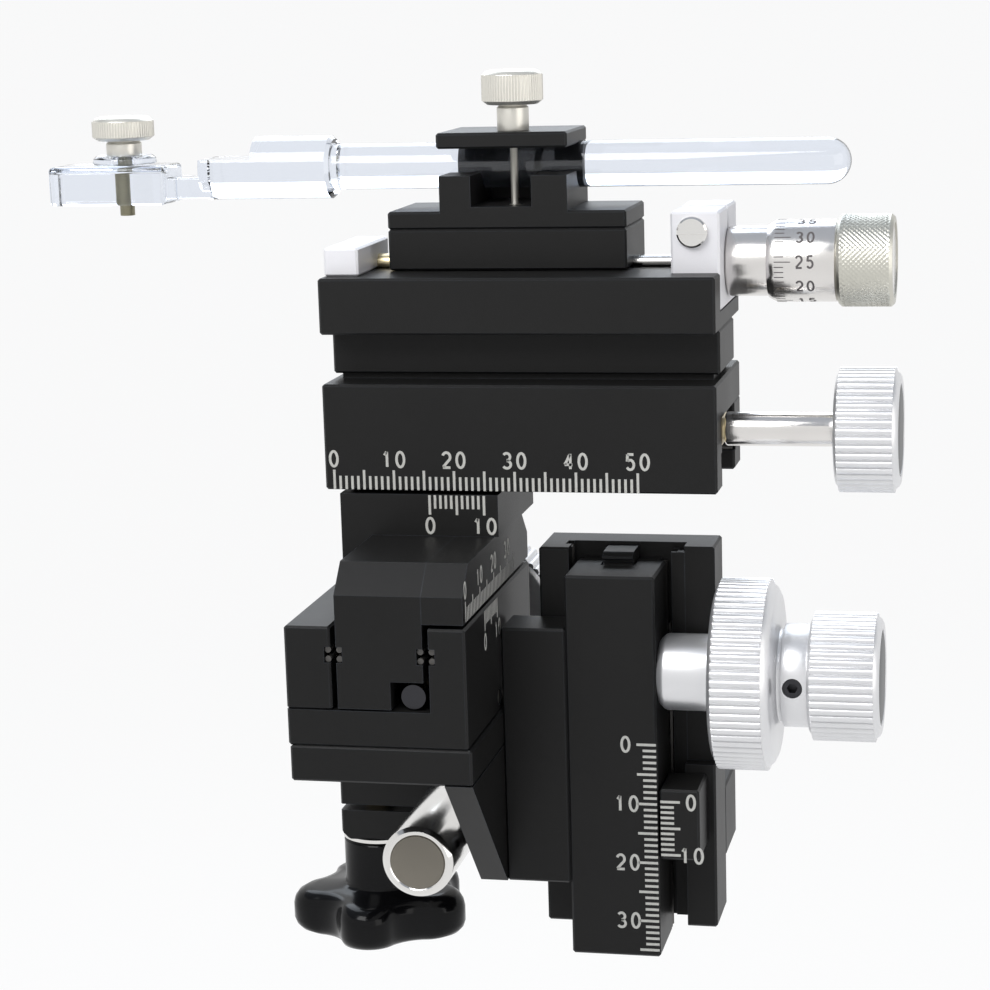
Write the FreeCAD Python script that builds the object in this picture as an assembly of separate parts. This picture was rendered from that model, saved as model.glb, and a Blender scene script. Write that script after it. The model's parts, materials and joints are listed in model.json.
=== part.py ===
import FreeCAD
import Part
import math
import os

V = FreeCAD.Vector

# Driving dimensions, in millimetres.
# Working axes: X right along the ruled rail, Y away from the front, Z up, all from the front lower
# left corner of the Y rail. The part's own origin is the middle of the rod's rear grip.

# Fits shared by all pieces
free_gap = 0.3
running_gap = 0.05
edge_break = 0.35

# Ball slides: two wires in each wall, balls between four wires
side_gap = 0.95
wire_radius = 0.5
wire_seat = 0.45
wire_half_pitch = 0.75
wire_end_gap = 0.5
groove_gap = 0.02
ball_gap = 0.02
ball_pitch = 4.6
cage_thickness = 0.4
cage_half_height = 1.05
raceway_drop = 4.5

# Y stage
y_rail_width = 29.0
y_rail_height = 19.3
y_rail_length = 48.5
rail_floor = 5.9
fixed_wall = 5.85
gib_wall = 7.4
y_slide_top = 28.8
y_arm_underside = 20.0
y_arm_right = 28.8
y_end_bevel = 4.45
y_cage_length = 34.0
notch_width = 5.3
notch_height = 4.8

# Lead screws, shared by X and Y
screw_radius = 1.95
nut_length = 12.0
nut_gap = 0.4
screw_from_wall = 2.85
screw_from_floor = 2.25
screw_bearing_length = 6.0
knob_radius = 10.0
knob_length = 10.1
y_nut_start = 12.0
y_shaft_radius = 2.3
y_travel_back = 10.0
y_knob_gap = 2.0
x_shaft_radius = 2.75
x_shaft_length = 17.8

# X saddle on the Y slide, X rail above it
stage_front = 23.55
saddle_left = 3.2
saddle_right = 29.5
saddle_back = 51.0
saddle_top = 35.65
saddle_lug_bottom = 20.3
x_rail_left = 0.84
x_rail_right = 65.1
x_rail_depth = 28.95
x_rail_height = 17.3
x_rail_gap = 0.6
x_cage_length = 12.0
x_cage_centre = 16.5
x_nut_start = 9.0

# Neck and upper plate
neck_inset = 0.46
neck_height = 8.05
neck_slit = 0.95
neck_slit_depth = 1.2
neck_right_inset = 0.12
neck_depth = 17.2
upper_plate_thickness = 9.1

# Fine stage
platform_left = 10.2
platform_length = 39.4
platform_front = 33.6
platform_depth = 18.0
platform_thickness = 6.65
platform_gap = 0.15
dovetail_left = 16.0
dovetail_length = 28.0
dovetail_top_width = 9.6
dovetail_spread = 2.0
dovetail_depth = 4.8
fine_travel_left = 3.2
fine_travel_right = 6.8
stop_block_left = 1.2
stop_block_width = 5.7
stop_block_front = 26.5
stop_block_depth = 19.5
stop_block_height = 4.6
guide_pin_radius = 1.5
guide_pin_end = 1.3

# Micrometer
micrometer_y = 40.0
micrometer_height = 0.8
bracket_width = 7.8
bracket_half_depth = 10.4
bracket_top = 9.7
bracket_foot = 6.2
bracket_slit = 0.9
bracket_screw_inset = 3.5
bracket_screw_height = 6.5
bracket_screw_radius = 2.45
bracket_screw_proud = 1.0
bracket_screw_edge = 0.3
bracket_screw_grip = 6.0
screw_slot_width = 0.7
screw_slot_depth = 0.5
sleeve_radius = 5.65
sleeve_stem_radius = 4.0
sleeve_shown = 6.7
sleeve_hidden = 10.1
thimble_radius = 6.6
thimble_gap = 0.1
thimble_plain = 11.2
thimble_bevel = 1.2
thimble_grip = 8.8
thimble_grip_radius = 7.4
thimble_lip = 0.3
grip_edge = 0.8
thimble_bore_depth = 16.2
spindle_radius = 1.05

# Holder clamp on the fine platform
clamp_plate_thickness = 2.9
clamp_post_left = 19.0
clamp_post_width = 21.1
clamp_post_height = 5.7
clamp_notch_left = 24.2
clamp_notch_width = 10.0
clamp_wall = 1.8
clamp_wall_gap = 0.1
clamp_notch_floor = 0.7
clamp_screw_cover = 0.5
jaw_left = 18.5
jaw_front = 34.3
jaw_gap = 4.3
jaw_thickness = 2.55
clamp_screw_x = 30.5
clamp_screw_y = 38.6
clamp_screw_radius = 1.25
clamp_nut_radius = 1.9
clamp_nut_height = 2.8
thumb_neck_radius = 2.6
thumb_neck_height = 4.2
thumb_head_radius = 5.0
thumb_head_height = 5.5
thumb_edge = 0.6

# Clear holder rod
holder_y = 45.6
holder_lift = 0.9
holder_radius = 3.8
holder_right = 84.5
holder_step = -1.6
holder_step_length = 13.6
holder_step_radius = 5.25
holder_flat_length = 9.1
holder_flat_height = 1.7
holder_neck_length = 6.1
holder_neck_bottom = -4.8
holder_neck_top = -1.3
tip_block_length = 20.6
tip_block_width = 10.4
tip_block_bottom = -5.8
tip_block_top = 0.8
tip_block_edge = 0.8
tip_screw_inset = 8.5
tip_screw_radius = 1.3
tip_screw_below = 2.0
tip_washer_radius = 5.5
tip_washer_height = 1.5
tip_neck_radius = 3.0
tip_neck_height = 2.5
tip_head_radius = 5.25
tip_head_height = 4.0
pipette_radius = 0.75
pipette_offset = 3.0
pipette_depth = 0.62

# Base plate, gusset and side arm
base_plate_left = 0.2
base_plate_thickness = 5.85
arm_rail_gap = 0.5
arm_front = 22.5
arm_depth = 8.9
arm_bottom = -29.0
arm_top = 14.0
gusset_thickness = 4.5

# Z stage
z_slide_left = 40.15
z_slide_width = 14.7
z_slide_back = 37.4
z_slide_bottom = -41.1
z_slide_top = 22.9
z_rail_left = 34.2
z_rail_right = 63.0
z_rail_front = 32.0
z_rail_back = 43.8
z_rail_bottom = -39.1
z_rail_top = 25.4
z_gib_thickness = 2.2
z_gib_front = 34.55
z_relief_bottom = -10.9
z_raceway_level = 36.2
z_cage_length = 40.0
z_cage_centre = -7.85
vernier_left = 55.1
vernier_width = 6.5
vernier_bottom = -24.25
vernier_top = -12.35

# Rack and pinion
z_axis_y = 28.0
z_axis_z = 6.0
gear_module = 0.5
pinion_teeth = 14
pressure_angle = 20.0
backlash = 0.06
rack_width = 5.0
rack_centre = 47.5
rack_teeth_below = 8
rack_teeth_above = 12
pinion_shaft_radius = 2.0
pinion_bore_radius = 4.3
pinion_cover = 1.0
sleeve_outer_radius = 6.25
sleeve_length = 9.0
sleeve_chamfer = 0.9
wheel_radius = 15.5
wheel_length = 10.6
wheel_chamfer = 0.9
hub_radius = 8.35
hub_length = 4.6
hub_screw_radius = 1.5
end_knob_radius = 10.4
end_knob_length = 11.3
knob_chamfer = 0.7
knob_face_recess = 0.6
knob_face_radius = 7.6

# Clamp bar, rod and star knob
bar_left = -5.0
bar_depth = 13.2
bar_bottom = -30.6
bar_top = -18.3
bar_chamfer = 1.5
slit_bottom = -25.2
slit_top = -24.1
rod_x = 15.8
rod_z = -24.4
rod_radius = 6.0
rod_front = 16.2
rod_rear = 91.0
rod_chamfer = 0.8
rod_grip_length = 20.0
rod_relief_width = 1.0
rod_relief_depth = 0.4
star_x = 0.4
star_hub_radius = 6.65
star_hub_height = 9.0
star_height = 8.0
star_reach = 16.1
star_lobe_radius = 5.0
star_hollow_radius = 7.0
star_lobes = 5
star_edge = 1.8
stud_radius = 2.5
stud_cover = 1.0
washer_radius = 6.8
washer_thickness = 0.6

# Cap screws
cap_radius = 1.5
cap_head_radius = 2.7
cap_head_height = 3.0
cap_socket_width = 2.5
cap_socket_depth = 1.6
counterbore_gap = 0.15
rail_screw_inset = 8.0
rail_screw_grip = 4.5
arm_screw_levels = (-12.0, -23.0)
arm_screw_length = 11.0
plate_screw_front = 10.0
plate_screw_back = 8.5
gib_side_screw_length = 17.0
rail_side_screw_length = 9.5
gib_screw_first = 11.0
gib_screw_pitch = 21.0
gib_screw_count = 3
gib_screw_grip = 6.0
set_screw_centre = (22.7, 2.4)
set_screw_radius = 1.3
set_screw_length = 4.0

AXES = {"x": V(1, 0, 0), "y": V(0, 1, 0), "z": V(0, 0, 1)}


def point(axis, along, a, b):
    """Point from the distance along one axis and the two coordinates across it."""
    if axis == "x":
        return V(along, a, b)
    if axis == "y":
        return V(a, along, b)
    return V(a, b, along)


def box(x, y, z):
    """Block between the two ends given for each axis."""
    return Part.makeBox(x[1] - x[0], y[1] - y[0], z[1] - z[0], V(x[0], y[0], z[0]))


def bar(axis, a, b, span):
    """Block along one axis, with its section given across that axis."""
    if axis == "x":
        return box(span, a, b)
    if axis == "y":
        return box(a, span, b)
    return box(a, b, span)


def rod(axis, centre, radius, span):
    """Round bar along one axis."""
    return Part.makeCylinder(radius, span[1] - span[0], point(axis, span[0], *centre), AXES[axis])


def prism(axis, corners, span):
    """Bar along one axis with a polygon section."""
    points = [point(axis, span[0], a, b) for a, b in corners]
    face = Part.Face(Part.makePolygon(points + points[:1]))
    return face.extrude(AXES[axis] * (span[1] - span[0]))


def turned(axis, centre, profile):
    """Solid of revolution from (distance along the axis, radius) points."""
    outline = [(profile[0][0], 0.0)] + profile + [(profile[-1][0], 0.0)]
    points = [point(axis, along, centre[0] + radius, centre[1]) for along, radius in outline]
    face = Part.Face(Part.makePolygon(points + points[:1]))
    return face.revolve(point(axis, 0.0, *centre), AXES[axis], 360)


def fused(shapes):
    """One solid from shapes that meet, without the seams between them."""
    return shapes[0].multiFuse(shapes[1:]).removeSplitter()


def drilled(shape, tools):
    """The shape with every tool cut away."""
    return shape.cut(tools) if tools else shape


def on_outline(edge, bounds):
    """True for a straight edge that lies along an edge of the bounding box."""
    lows = (bounds.XMin, bounds.YMin, bounds.ZMin)
    highs = (bounds.XMax, bounds.YMax, bounds.ZMax)
    sides = 0
    for axis in range(3):
        for limit in (lows[axis], highs[axis]):
            if all(abs(vertex.Point[axis] - limit) < 1e-6 for vertex in edge.Vertexes):
                sides += 1
    return sides == 2


def eased(shape, size=edge_break):
    """Chamfer the outer edges of a block."""
    edges = [edge for edge in shape.Edges if on_outline(edge, shape.BoundBox)]
    return shape.makeChamfer(size, edges)


def groove(axis, face, into, level, span):
    """Slot for a pair of raceway wires; into is +1 or -1, the way into the material."""
    depth = wire_seat + wire_radius + groove_gap
    half = wire_half_pitch + wire_radius + groove_gap
    across = sorted((face - into * wire_radius, face + into * depth))
    return bar(axis, across, (level - half, level + half), (span[0] - 1, span[1] + 1))


def wires(axis, face, into, level, span):
    """The pair of raceway wires in one slot."""
    centre = face + into * wire_seat
    inner = (span[0] + wire_end_gap, span[1] - wire_end_gap)
    return [rod(axis, (centre, level + side * wire_half_pitch), wire_radius, inner) for side in (-1, 1)]


def ball(radius, place):
    """Ball with few faces: a cube with every edge cut back, whose corners lie on the round ball."""
    flat = math.sqrt(2) - 1
    half = radius / math.sqrt(1 + 2 * flat ** 2)
    cube = Part.makeBox(2 * half, 2 * half, 2 * half, place - V(half, half, half))
    return cube.makeChamfer(half * (1 - flat), cube.Edges)


def ball_cage(axis, middle, level, span):
    """Cage strip with its balls, in the gap between two raceways."""
    reach = math.hypot(side_gap / 2 + wire_seat, wire_half_pitch)
    ball_radius = reach - wire_radius - ball_gap
    half = cage_thickness / 2
    strip = bar(axis, (middle - half, middle + half), (level - cage_half_height, level + cage_half_height),
                span)
    count = int((span[1] - span[0] - ball_pitch / 2) // ball_pitch) + 1
    start = (span[0] + span[1] - (count - 1) * ball_pitch) / 2
    places = [point(axis, start + i * ball_pitch, middle, level) for i in range(count)]
    across = V(0, 1, 0) if axis == "x" else V(1, 0, 0)
    hole_radius = ball_radius + ball_gap
    holes = [Part.makeCylinder(hole_radius, 2 * cage_thickness, place - across * cage_thickness, across)
             for place in places]
    return [strip.cut(holes)] + [ball(ball_radius, place) for place in places]


def hexagon(axis, centre, width, span):
    """Six-sided bar along one axis; width is across its flats."""
    reach = width / math.sqrt(3)
    corners = [(centre[0] + reach * math.cos(math.radians(60 * i)),
                centre[1] + reach * math.sin(math.radians(60 * i))) for i in range(6)]
    return prism(axis, corners, span)


def cap_screw(axis, centre, face, inward, length):
    """Socket head screw with its head flush in a face; inward is +1 or -1 along the axis."""
    head_end = face + inward * cap_head_height
    head = rod(axis, centre, cap_head_radius, sorted((face, head_end)))
    shank = rod(axis, centre, cap_radius, sorted((head_end, face + inward * length)))
    socket = hexagon(axis, centre, cap_socket_width, sorted((face, face + inward * cap_socket_depth)))
    return fused([head, shank]).cut(socket)


def cap_screw_hole(axis, centre, face, inward, length):
    """Counterbored hole for a cap screw."""
    head_end = face + inward * (cap_head_height + counterbore_gap)
    outside = face - inward
    wide = rod(axis, centre, cap_head_radius + counterbore_gap, sorted((outside, head_end)))
    shank_end = face + inward * (length + free_gap)
    narrow = rod(axis, centre, cap_radius + running_gap, sorted((outside, shank_end)))
    return wide.fuse(narrow)


def knob(axis, centre, start, length, radius):
    """Turned knob with eased rims and a recessed end face."""
    end = start + length
    body = turned(axis, centre, [(start, radius - knob_chamfer), (start + knob_chamfer, radius),
                                 (end - knob_chamfer, radius), (end, radius - knob_chamfer)])
    return body.cut(rod(axis, centre, knob_face_radius, (end - knob_face_recess, end + 1)))


# Places worked out from the driving dimensions

arm_left = y_rail_width + arm_rail_gap
y_channel = (gib_wall, y_rail_width - fixed_wall)
y_stem = (y_channel[0] + side_gap, y_channel[1] - side_gap)
y_span = (0.0, y_rail_length)
y_level = y_rail_height - raceway_drop
y_screw_centre = (y_channel[1] - screw_from_wall, rail_floor + screw_from_floor)
y_notch_left = y_stem[1] - notch_width
y_notch_top = rail_floor + notch_height
y_stem_bottom = rail_floor + free_gap

x_rail_bottom = saddle_top + x_rail_gap
x_rail_top = x_rail_bottom + x_rail_height
x_span = (x_rail_left, x_rail_right)
x_channel = (stage_front + fixed_wall, stage_front + x_rail_depth - gib_wall)
x_roof = x_rail_top - rail_floor
x_stem = (x_channel[0] + side_gap, x_channel[1] - side_gap)
x_stem_top = x_roof - free_gap
x_level = x_rail_bottom + raceway_drop
x_screw_centre = (x_channel[0] + screw_from_wall, x_roof - screw_from_floor)
x_notch_back = x_stem[0] + notch_width
x_notch_bottom = x_roof - notch_height

neck_top = x_rail_top + neck_height
plate_top = neck_top + upper_plate_thickness
stage_back = stage_front + x_rail_depth
platform_bottom = plate_top + platform_gap
platform_top = platform_bottom + platform_thickness
platform_span = (platform_left, platform_left + platform_length)
platform_back = platform_front + platform_depth
dovetail_y = (platform_front + platform_back) / 2
micrometer_centre = (micrometer_y, plate_top + micrometer_height)
bracket_left = x_rail_right - bracket_width

clamp_plate_top = platform_top + clamp_plate_thickness
post_top = clamp_plate_top + clamp_post_height
notch_floor = clamp_plate_top + clamp_notch_floor
post_span = (clamp_post_left, clamp_post_left + clamp_post_width)
jaw_bottom = post_top + jaw_gap
jaw_top = jaw_bottom + jaw_thickness
clamp_screw_centre = (clamp_screw_x, clamp_screw_y)
holder_z = post_top + holder_lift
holder_centre = (holder_y, holder_z)
step_left = holder_step - holder_step_length
flat_left = step_left - holder_flat_length
tip_block_right = flat_left - holder_neck_length
tip_block_left = tip_block_right - tip_block_length
tip_top = holder_z + tip_block_top
tip_bottom = holder_z + tip_block_bottom
tip_centre = (tip_block_right - tip_screw_inset, holder_y)

z_slide_right = z_slide_left + z_slide_width
z_span = (z_rail_bottom, z_rail_top)
z_slide_span = (z_slide_bottom, z_slide_top)
z_walls = (z_slide_left - side_gap, z_slide_right + side_gap)
z_gib_right = z_walls[1] + z_gib_thickness
z_floor = z_slide_back + free_gap
z_axis = (z_axis_y, z_axis_z)
pitch_radius = gear_module * pinion_teeth / 2
tooth_pitch = math.pi * gear_module
rack_pitch_y = z_axis_y + pitch_radius
addendum = gear_module
dedendum = 1.25 * gear_module
rack_span = (rack_centre - rack_width / 2, rack_centre + rack_width / 2)
wheel_left = z_slide_right + sleeve_length + free_gap
hub_left = wheel_left + wheel_length
end_knob_left = hub_left + hub_length

bar_front = z_rail_back
bar_back = bar_front + bar_depth
bar_middle = (bar_front + bar_back) / 2
rod_centre = (rod_x, rod_z)
origin = V(rod_x, rod_rear - rod_grip_length / 2, rod_z)
star_centre = (star_x, bar_middle)
base_plate_bottom = -base_plate_thickness


def mounting_rod():
    """Rod with a relief groove between its seat in the clamp bar and its free rear grip."""
    end_radius = rod_radius - rod_chamfer
    relief_radius = rod_radius - rod_relief_depth
    relief_front = bar_back + free_gap
    relief_rear = relief_front + rod_relief_width
    return turned("y", rod_centre, [(rod_front, end_radius), (rod_front + rod_chamfer, rod_radius),
                                    (relief_front, rod_radius), (relief_front, relief_radius),
                                    (relief_rear, relief_radius), (relief_rear, rod_radius),
                                    (rod_rear - rod_chamfer, rod_radius), (rod_rear, end_radius)])


# Clamp bar and star knob

rail_screw_places = [(z_rail_left + rail_screw_inset, rod_z), (z_rail_right - rail_screw_inset, rod_z)]
rail_screw_length = bar_depth + rail_screw_grip


def rod_clamp_bar():
    body = eased(box((bar_left, z_rail_right), (bar_front, bar_back), (bar_bottom, bar_top)))
    corner = prism("y", [(bar_left - 1, bar_bottom - 1), (bar_left + bar_chamfer + 1, bar_bottom - 1),
                         (bar_left - 1, bar_bottom + bar_chamfer + 1)], (bar_front - 1, bar_back + 1))
    bore = rod("y", rod_centre, rod_radius + running_gap, (bar_front - 1, bar_back + 1))
    slit = box((bar_left - 1, rod_x), (bar_front - 1, bar_back + 1), (slit_bottom, slit_top))
    stud_hole = rod("z", star_centre, stud_radius + running_gap, (bar_bottom - 1, bar_top - stud_cover))
    holes = [cap_screw_hole("y", place, bar_back, -1, rail_screw_length) for place in rail_screw_places]
    return drilled(body, [corner, bore, slit, stud_hole] + holes)


def z_rail_cap_screws():
    return [cap_screw("y", place, bar_back, -1, rail_screw_length) for place in rail_screw_places]


def clamp_washer():
    ring = rod("z", star_centre, washer_radius, (bar_bottom - washer_thickness, bar_bottom))
    return ring.cut(rod("z", star_centre, stud_radius + running_gap, (bar_bottom - 1, bar_bottom + 1)))


star_hub_top = bar_bottom - washer_thickness - free_gap
star_top = star_hub_top - star_hub_height
stud_bottom = star_top - star_height / 2


def star_outline(level):
    """Closed outline of the star: round lobes joined by round hollows."""
    lobe_at = star_reach - star_lobe_radius
    half_step = math.pi / star_lobes
    reach = star_lobe_radius + star_hollow_radius
    across = lobe_at * math.cos(half_step)
    hollow_at = across + math.sqrt(across ** 2 - lobe_at ** 2 + reach ** 2)
    waist = hollow_at - star_hollow_radius

    def polar(radius, angle):
        return V(star_centre[0] + radius * math.cos(angle), star_centre[1] + radius * math.sin(angle), level)

    edges = []
    for i in range(star_lobes):
        angle = -math.pi / 2 + 2 * i * half_step
        lobe = polar(lobe_at, angle)
        before = polar(hollow_at, angle - half_step)
        after = polar(hollow_at, angle + half_step)
        after_lobe = polar(lobe_at, angle + 2 * half_step)
        start = lobe + (before - lobe) * (star_lobe_radius / reach)
        end = lobe + (after - lobe) * (star_lobe_radius / reach)
        next_start = after_lobe + (after - after_lobe) * (star_lobe_radius / reach)
        edges.append(Part.Arc(start, polar(star_reach, angle), end).toShape())
        edges.append(Part.Arc(end, polar(waist, angle + half_step), next_start).toShape())
    return Part.Wire(edges)


def star_knob():
    head = Part.Face(star_outline(star_top - star_height)).extrude(V(0, 0, star_height))
    rims = [edge for edge in head.Edges if abs(edge.Vertexes[0].Z - edge.Vertexes[-1].Z) < 1e-6]
    head = head.makeChamfer(star_edge, rims)
    hub = rod("z", star_centre, star_hub_radius, (star_top - star_edge, star_hub_top))
    stud_hole = rod("z", star_centre, stud_radius, (stud_bottom, star_hub_top + 1))
    return fused([head, hub]).cut(stud_hole)


def clamp_stud():
    return rod("z", star_centre, stud_radius, (stud_bottom, bar_top - stud_cover - free_gap))


# Z stage

def z_rail():
    corners = [(z_rail_left, z_rail_front), (z_walls[0], z_rail_front), (z_walls[0], z_floor),
               (z_gib_right, z_floor), (z_gib_right, z_rail_front), (z_rail_right, z_rail_front),
               (z_rail_right, z_rail_back), (z_rail_left, z_rail_back)]
    body = eased(prism("z", corners, z_span))
    relief = box((z_gib_right - 1, z_rail_right + 1), (z_rail_front - 1, z_gib_front),
                 (z_relief_bottom, z_rail_top + 1))
    hole_span = (z_rail_back - rail_screw_grip - free_gap, z_rail_back + 1)
    holes = [rod("y", place, cap_radius + running_gap, hole_span) for place in rail_screw_places]
    return drilled(body, [relief, groove("z", z_walls[0], -1, z_raceway_level, z_span)] + holes)


def z_gib():
    body = box((z_walls[1], z_gib_right), (z_gib_front, z_floor), (z_rail_bottom + 1, z_rail_top - 1))
    return body.cut(groove("z", z_walls[1], 1, z_raceway_level, z_span))


def z_rail_raceways():
    return (wires("z", z_walls[0], -1, z_raceway_level, z_span)
            + wires("z", z_walls[1], 1, z_raceway_level, (z_rail_bottom + 1, z_rail_top - 1)))


def z_rack():
    slope = math.tan(math.radians(pressure_angle))
    tip_half = tooth_pitch / 4 - addendum * slope - backlash / 2
    root_half = tooth_pitch / 4 + dedendum * slope - backlash / 2
    tip_y = rack_pitch_y - addendum
    root_y = rack_pitch_y + dedendum
    bottom = z_axis_z - rack_teeth_below * tooth_pitch
    top = z_axis_z + rack_teeth_above * tooth_pitch
    corners = [(z_floor, bottom), (root_y, bottom)]
    for i in range(-rack_teeth_below, rack_teeth_above):
        middle = z_axis_z + (i + 0.5) * tooth_pitch
        corners += [(root_y, middle - root_half), (tip_y, middle - tip_half),
                    (tip_y, middle + tip_half), (root_y, middle + root_half)]
    corners += [(root_y, top), (z_floor, top)]
    return prism("x", corners, rack_span)


def z_vernier_block():
    return eased(box((vernier_left, vernier_left + vernier_width), (arm_front, z_rail_front),
                     (vernier_bottom, vernier_top)))


def z_ball_cages():
    span = (z_cage_centre - z_cage_length / 2, z_cage_centre + z_cage_length / 2)
    return (ball_cage("z", z_slide_left - side_gap / 2, z_raceway_level, span)
            + ball_cage("z", z_slide_right + side_gap / 2, z_raceway_level, span))


def z_slide():
    body = eased(box((z_slide_left, z_slide_right), (arm_front, z_slide_back), z_slide_span))
    slot = box((rack_span[0] - free_gap, rack_span[1] + free_gap),
               (rack_pitch_y - addendum - free_gap, z_slide_back + 1), (z_slide_bottom - 1, z_slide_top + 1))
    bore = rod("x", z_axis, pinion_bore_radius, (rack_span[0] - free_gap, z_slide_right + 1))
    blind = rod("x", z_axis, pinion_shaft_radius + running_gap, (z_slide_left + pinion_cover, z_slide_right))
    return drilled(body, [slot, bore, blind, groove("z", z_slide_left, 1, z_raceway_level, z_slide_span),
                          groove("z", z_slide_right, -1, z_raceway_level, z_slide_span)])


def z_carriage_raceways():
    return (wires("z", z_slide_left, 1, z_raceway_level, z_slide_span)
            + wires("z", z_slide_right, -1, z_raceway_level, z_slide_span)
            + wires("y", y_channel[1], 1, y_level, y_span) + wires("y", gib_wall, -1, y_level, y_span))


def z_bearing_sleeve():
    end = z_slide_right + sleeve_length
    outer = turned("x", z_axis, [(z_slide_right, sleeve_outer_radius - sleeve_chamfer),
                                 (z_slide_right + sleeve_chamfer, sleeve_outer_radius),
                                 (end, sleeve_outer_radius)])
    spigot = rod("x", z_axis, pinion_bore_radius - groove_gap, (rack_span[1] + 2 * free_gap, z_slide_right))
    bore = rod("x", z_axis, pinion_shaft_radius + running_gap, (z_slide_left, end + 1))
    return fused([outer, spigot]).cut(bore)


def involute(angle):
    """Involute function of a pressure angle in radians."""
    return math.tan(angle) - angle


def pinion_outline():
    """Corner points of the pinion, with a tooth pointing at the rack."""
    base_radius = pitch_radius * math.cos(math.radians(pressure_angle))
    half_at_pitch = math.pi / (2 * pinion_teeth) - backlash / (2 * pitch_radius)
    corners = []
    for tooth in range(pinion_teeth):
        middle = 2 * math.pi * tooth / pinion_teeth
        flank = []
        for radius in (base_radius, pitch_radius, pitch_radius + addendum):
            pressure = math.acos(base_radius / radius)
            half = half_at_pitch + involute(math.radians(pressure_angle)) - involute(pressure)
            flank.append((radius, half))
        flank.insert(0, (pitch_radius - dedendum, flank[0][1]))
        sides = [(radius, middle - half) for radius, half in flank]
        sides += [(radius, middle + half) for radius, half in reversed(flank)]
        corners += [(z_axis_y + radius * math.cos(angle), z_axis_z + radius * math.sin(angle))
                    for radius, angle in sides]
    return corners


def z_pinion_shaft():
    gear = prism("x", pinion_outline(), rack_span)
    end = end_knob_left + end_knob_length / 2
    shaft = rod("x", z_axis, pinion_shaft_radius, (z_slide_left + pinion_cover + free_gap, end))
    return fused([gear, shaft])


def shaft_hole(start, end):
    return rod("x", z_axis, pinion_shaft_radius, (start, end))


hub_screw_x = hub_left + hub_length / 2


def z_hand_wheel():
    rim = turned("x", z_axis, [(wheel_left, wheel_radius - wheel_chamfer),
                               (wheel_left + wheel_chamfer, wheel_radius),
                               (hub_left - 2 * wheel_chamfer, wheel_radius),
                               (hub_left, wheel_radius - 2 * wheel_chamfer), (hub_left, hub_radius),
                               (end_knob_left, hub_radius)])
    screw_hole = rod("y", (hub_screw_x, z_axis_z), hub_screw_radius, (z_axis_y - hub_radius - 1, z_axis_y))
    return drilled(rim, [shaft_hole(wheel_left - 1, end_knob_left + 1), screw_hole])


def z_wheel_screw():
    face = z_axis_y - hub_radius + free_gap
    body = rod("y", (hub_screw_x, z_axis_z), hub_screw_radius, (face, z_axis_y - pinion_shaft_radius))
    socket = hexagon("y", (hub_screw_x, z_axis_z), hub_screw_radius, (face, face + cap_socket_depth))
    return body.cut(socket)


def z_end_knob():
    body = knob("x", z_axis, end_knob_left, end_knob_length, end_knob_radius)
    return body.cut(shaft_hole(end_knob_left - 1, end_knob_left + end_knob_length / 2))


gusset_left = arm_left - gusset_thickness
arm_screw_places = [(arm_front + arm_depth / 2, level) for level in arm_screw_levels]


def arm_screw_holes():
    return [cap_screw_hole("x", place, gusset_left, 1, arm_screw_length) for place in arm_screw_places]


def z_arm():
    body = eased(box((arm_left, z_slide_left), (arm_front, arm_front + arm_depth), (arm_bottom, arm_top)))
    return drilled(body, arm_screw_holes())


def gusset():
    back = arm_front + arm_depth
    body = prism("x", [(0.0, base_plate_bottom), (back, base_plate_bottom), (back, arm_bottom),
                       (arm_front, arm_bottom)], (gusset_left, arm_left))
    return drilled(body, arm_screw_holes())


plate_screw_rows = [(gib_wall / 2, gib_side_screw_length), (y_screw_centre[0], rail_side_screw_length)]
plate_screw_places = [(x, y, length) for x, length in plate_screw_rows
                      for y in (plate_screw_front, y_rail_length - plate_screw_back)]


def plate_screw_holes():
    return [cap_screw_hole("z", (x, y), base_plate_bottom, 1, length) for x, y, length in plate_screw_places]


def base_plate():
    body = eased(box((base_plate_left, arm_left), y_span, (base_plate_bottom, 0.0)))
    return drilled(body, plate_screw_holes())


def base_plate_screws():
    upright = [cap_screw("z", (x, y), base_plate_bottom, 1, length) for x, y, length in plate_screw_places]
    return upright + [cap_screw("x", place, gusset_left, 1, arm_screw_length) for place in arm_screw_places]


# Y stage

def y_rail():
    corners = [(0.0, 0.0), (y_rail_width, 0.0), (y_rail_width, y_rail_height), (y_channel[1], y_rail_height),
               (y_channel[1], rail_floor), (0.0, rail_floor)]
    body = eased(prism("y", corners, y_span))
    set_screw_hole = rod("x", set_screw_centre, set_screw_radius,
                         (y_rail_width - set_screw_length, y_rail_width + 1))
    raceway = groove("y", y_channel[1], 1, y_level, y_span)
    return drilled(body, [raceway, set_screw_hole] + plate_screw_holes())


def y_gib():
    body = eased(box((0.0, gib_wall), y_span, (rail_floor, y_rail_height)))
    return drilled(body, [groove("y", gib_wall, -1, y_level, y_span)] + plate_screw_holes())


def y_rail_set_screw():
    face = y_rail_width - free_gap
    body = rod("x", set_screw_centre, set_screw_radius, (y_rail_width - set_screw_length, face))
    return body.cut(hexagon("x", set_screw_centre, set_screw_radius, (face - set_screw_radius, face)))


def y_screw_bearing():
    block = box((y_notch_left + free_gap, y_channel[1]),
                (y_rail_length - screw_bearing_length, y_rail_length),
                (rail_floor, y_notch_top - free_gap))
    return block.cut(rod("y", y_screw_centre, screw_radius + running_gap, y_span))


def y_ball_cages():
    middle = y_rail_length / 2
    span = (middle - y_cage_length / 2, middle + y_cage_length / 2)
    return (ball_cage("y", y_channel[0] + side_gap / 2, y_level, span)
            + ball_cage("y", y_channel[1] - side_gap / 2, y_level, span))


y_knob_start = y_rail_length + y_travel_back + y_knob_gap
y_knob_socket_end = y_knob_start + knob_length / 2


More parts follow.
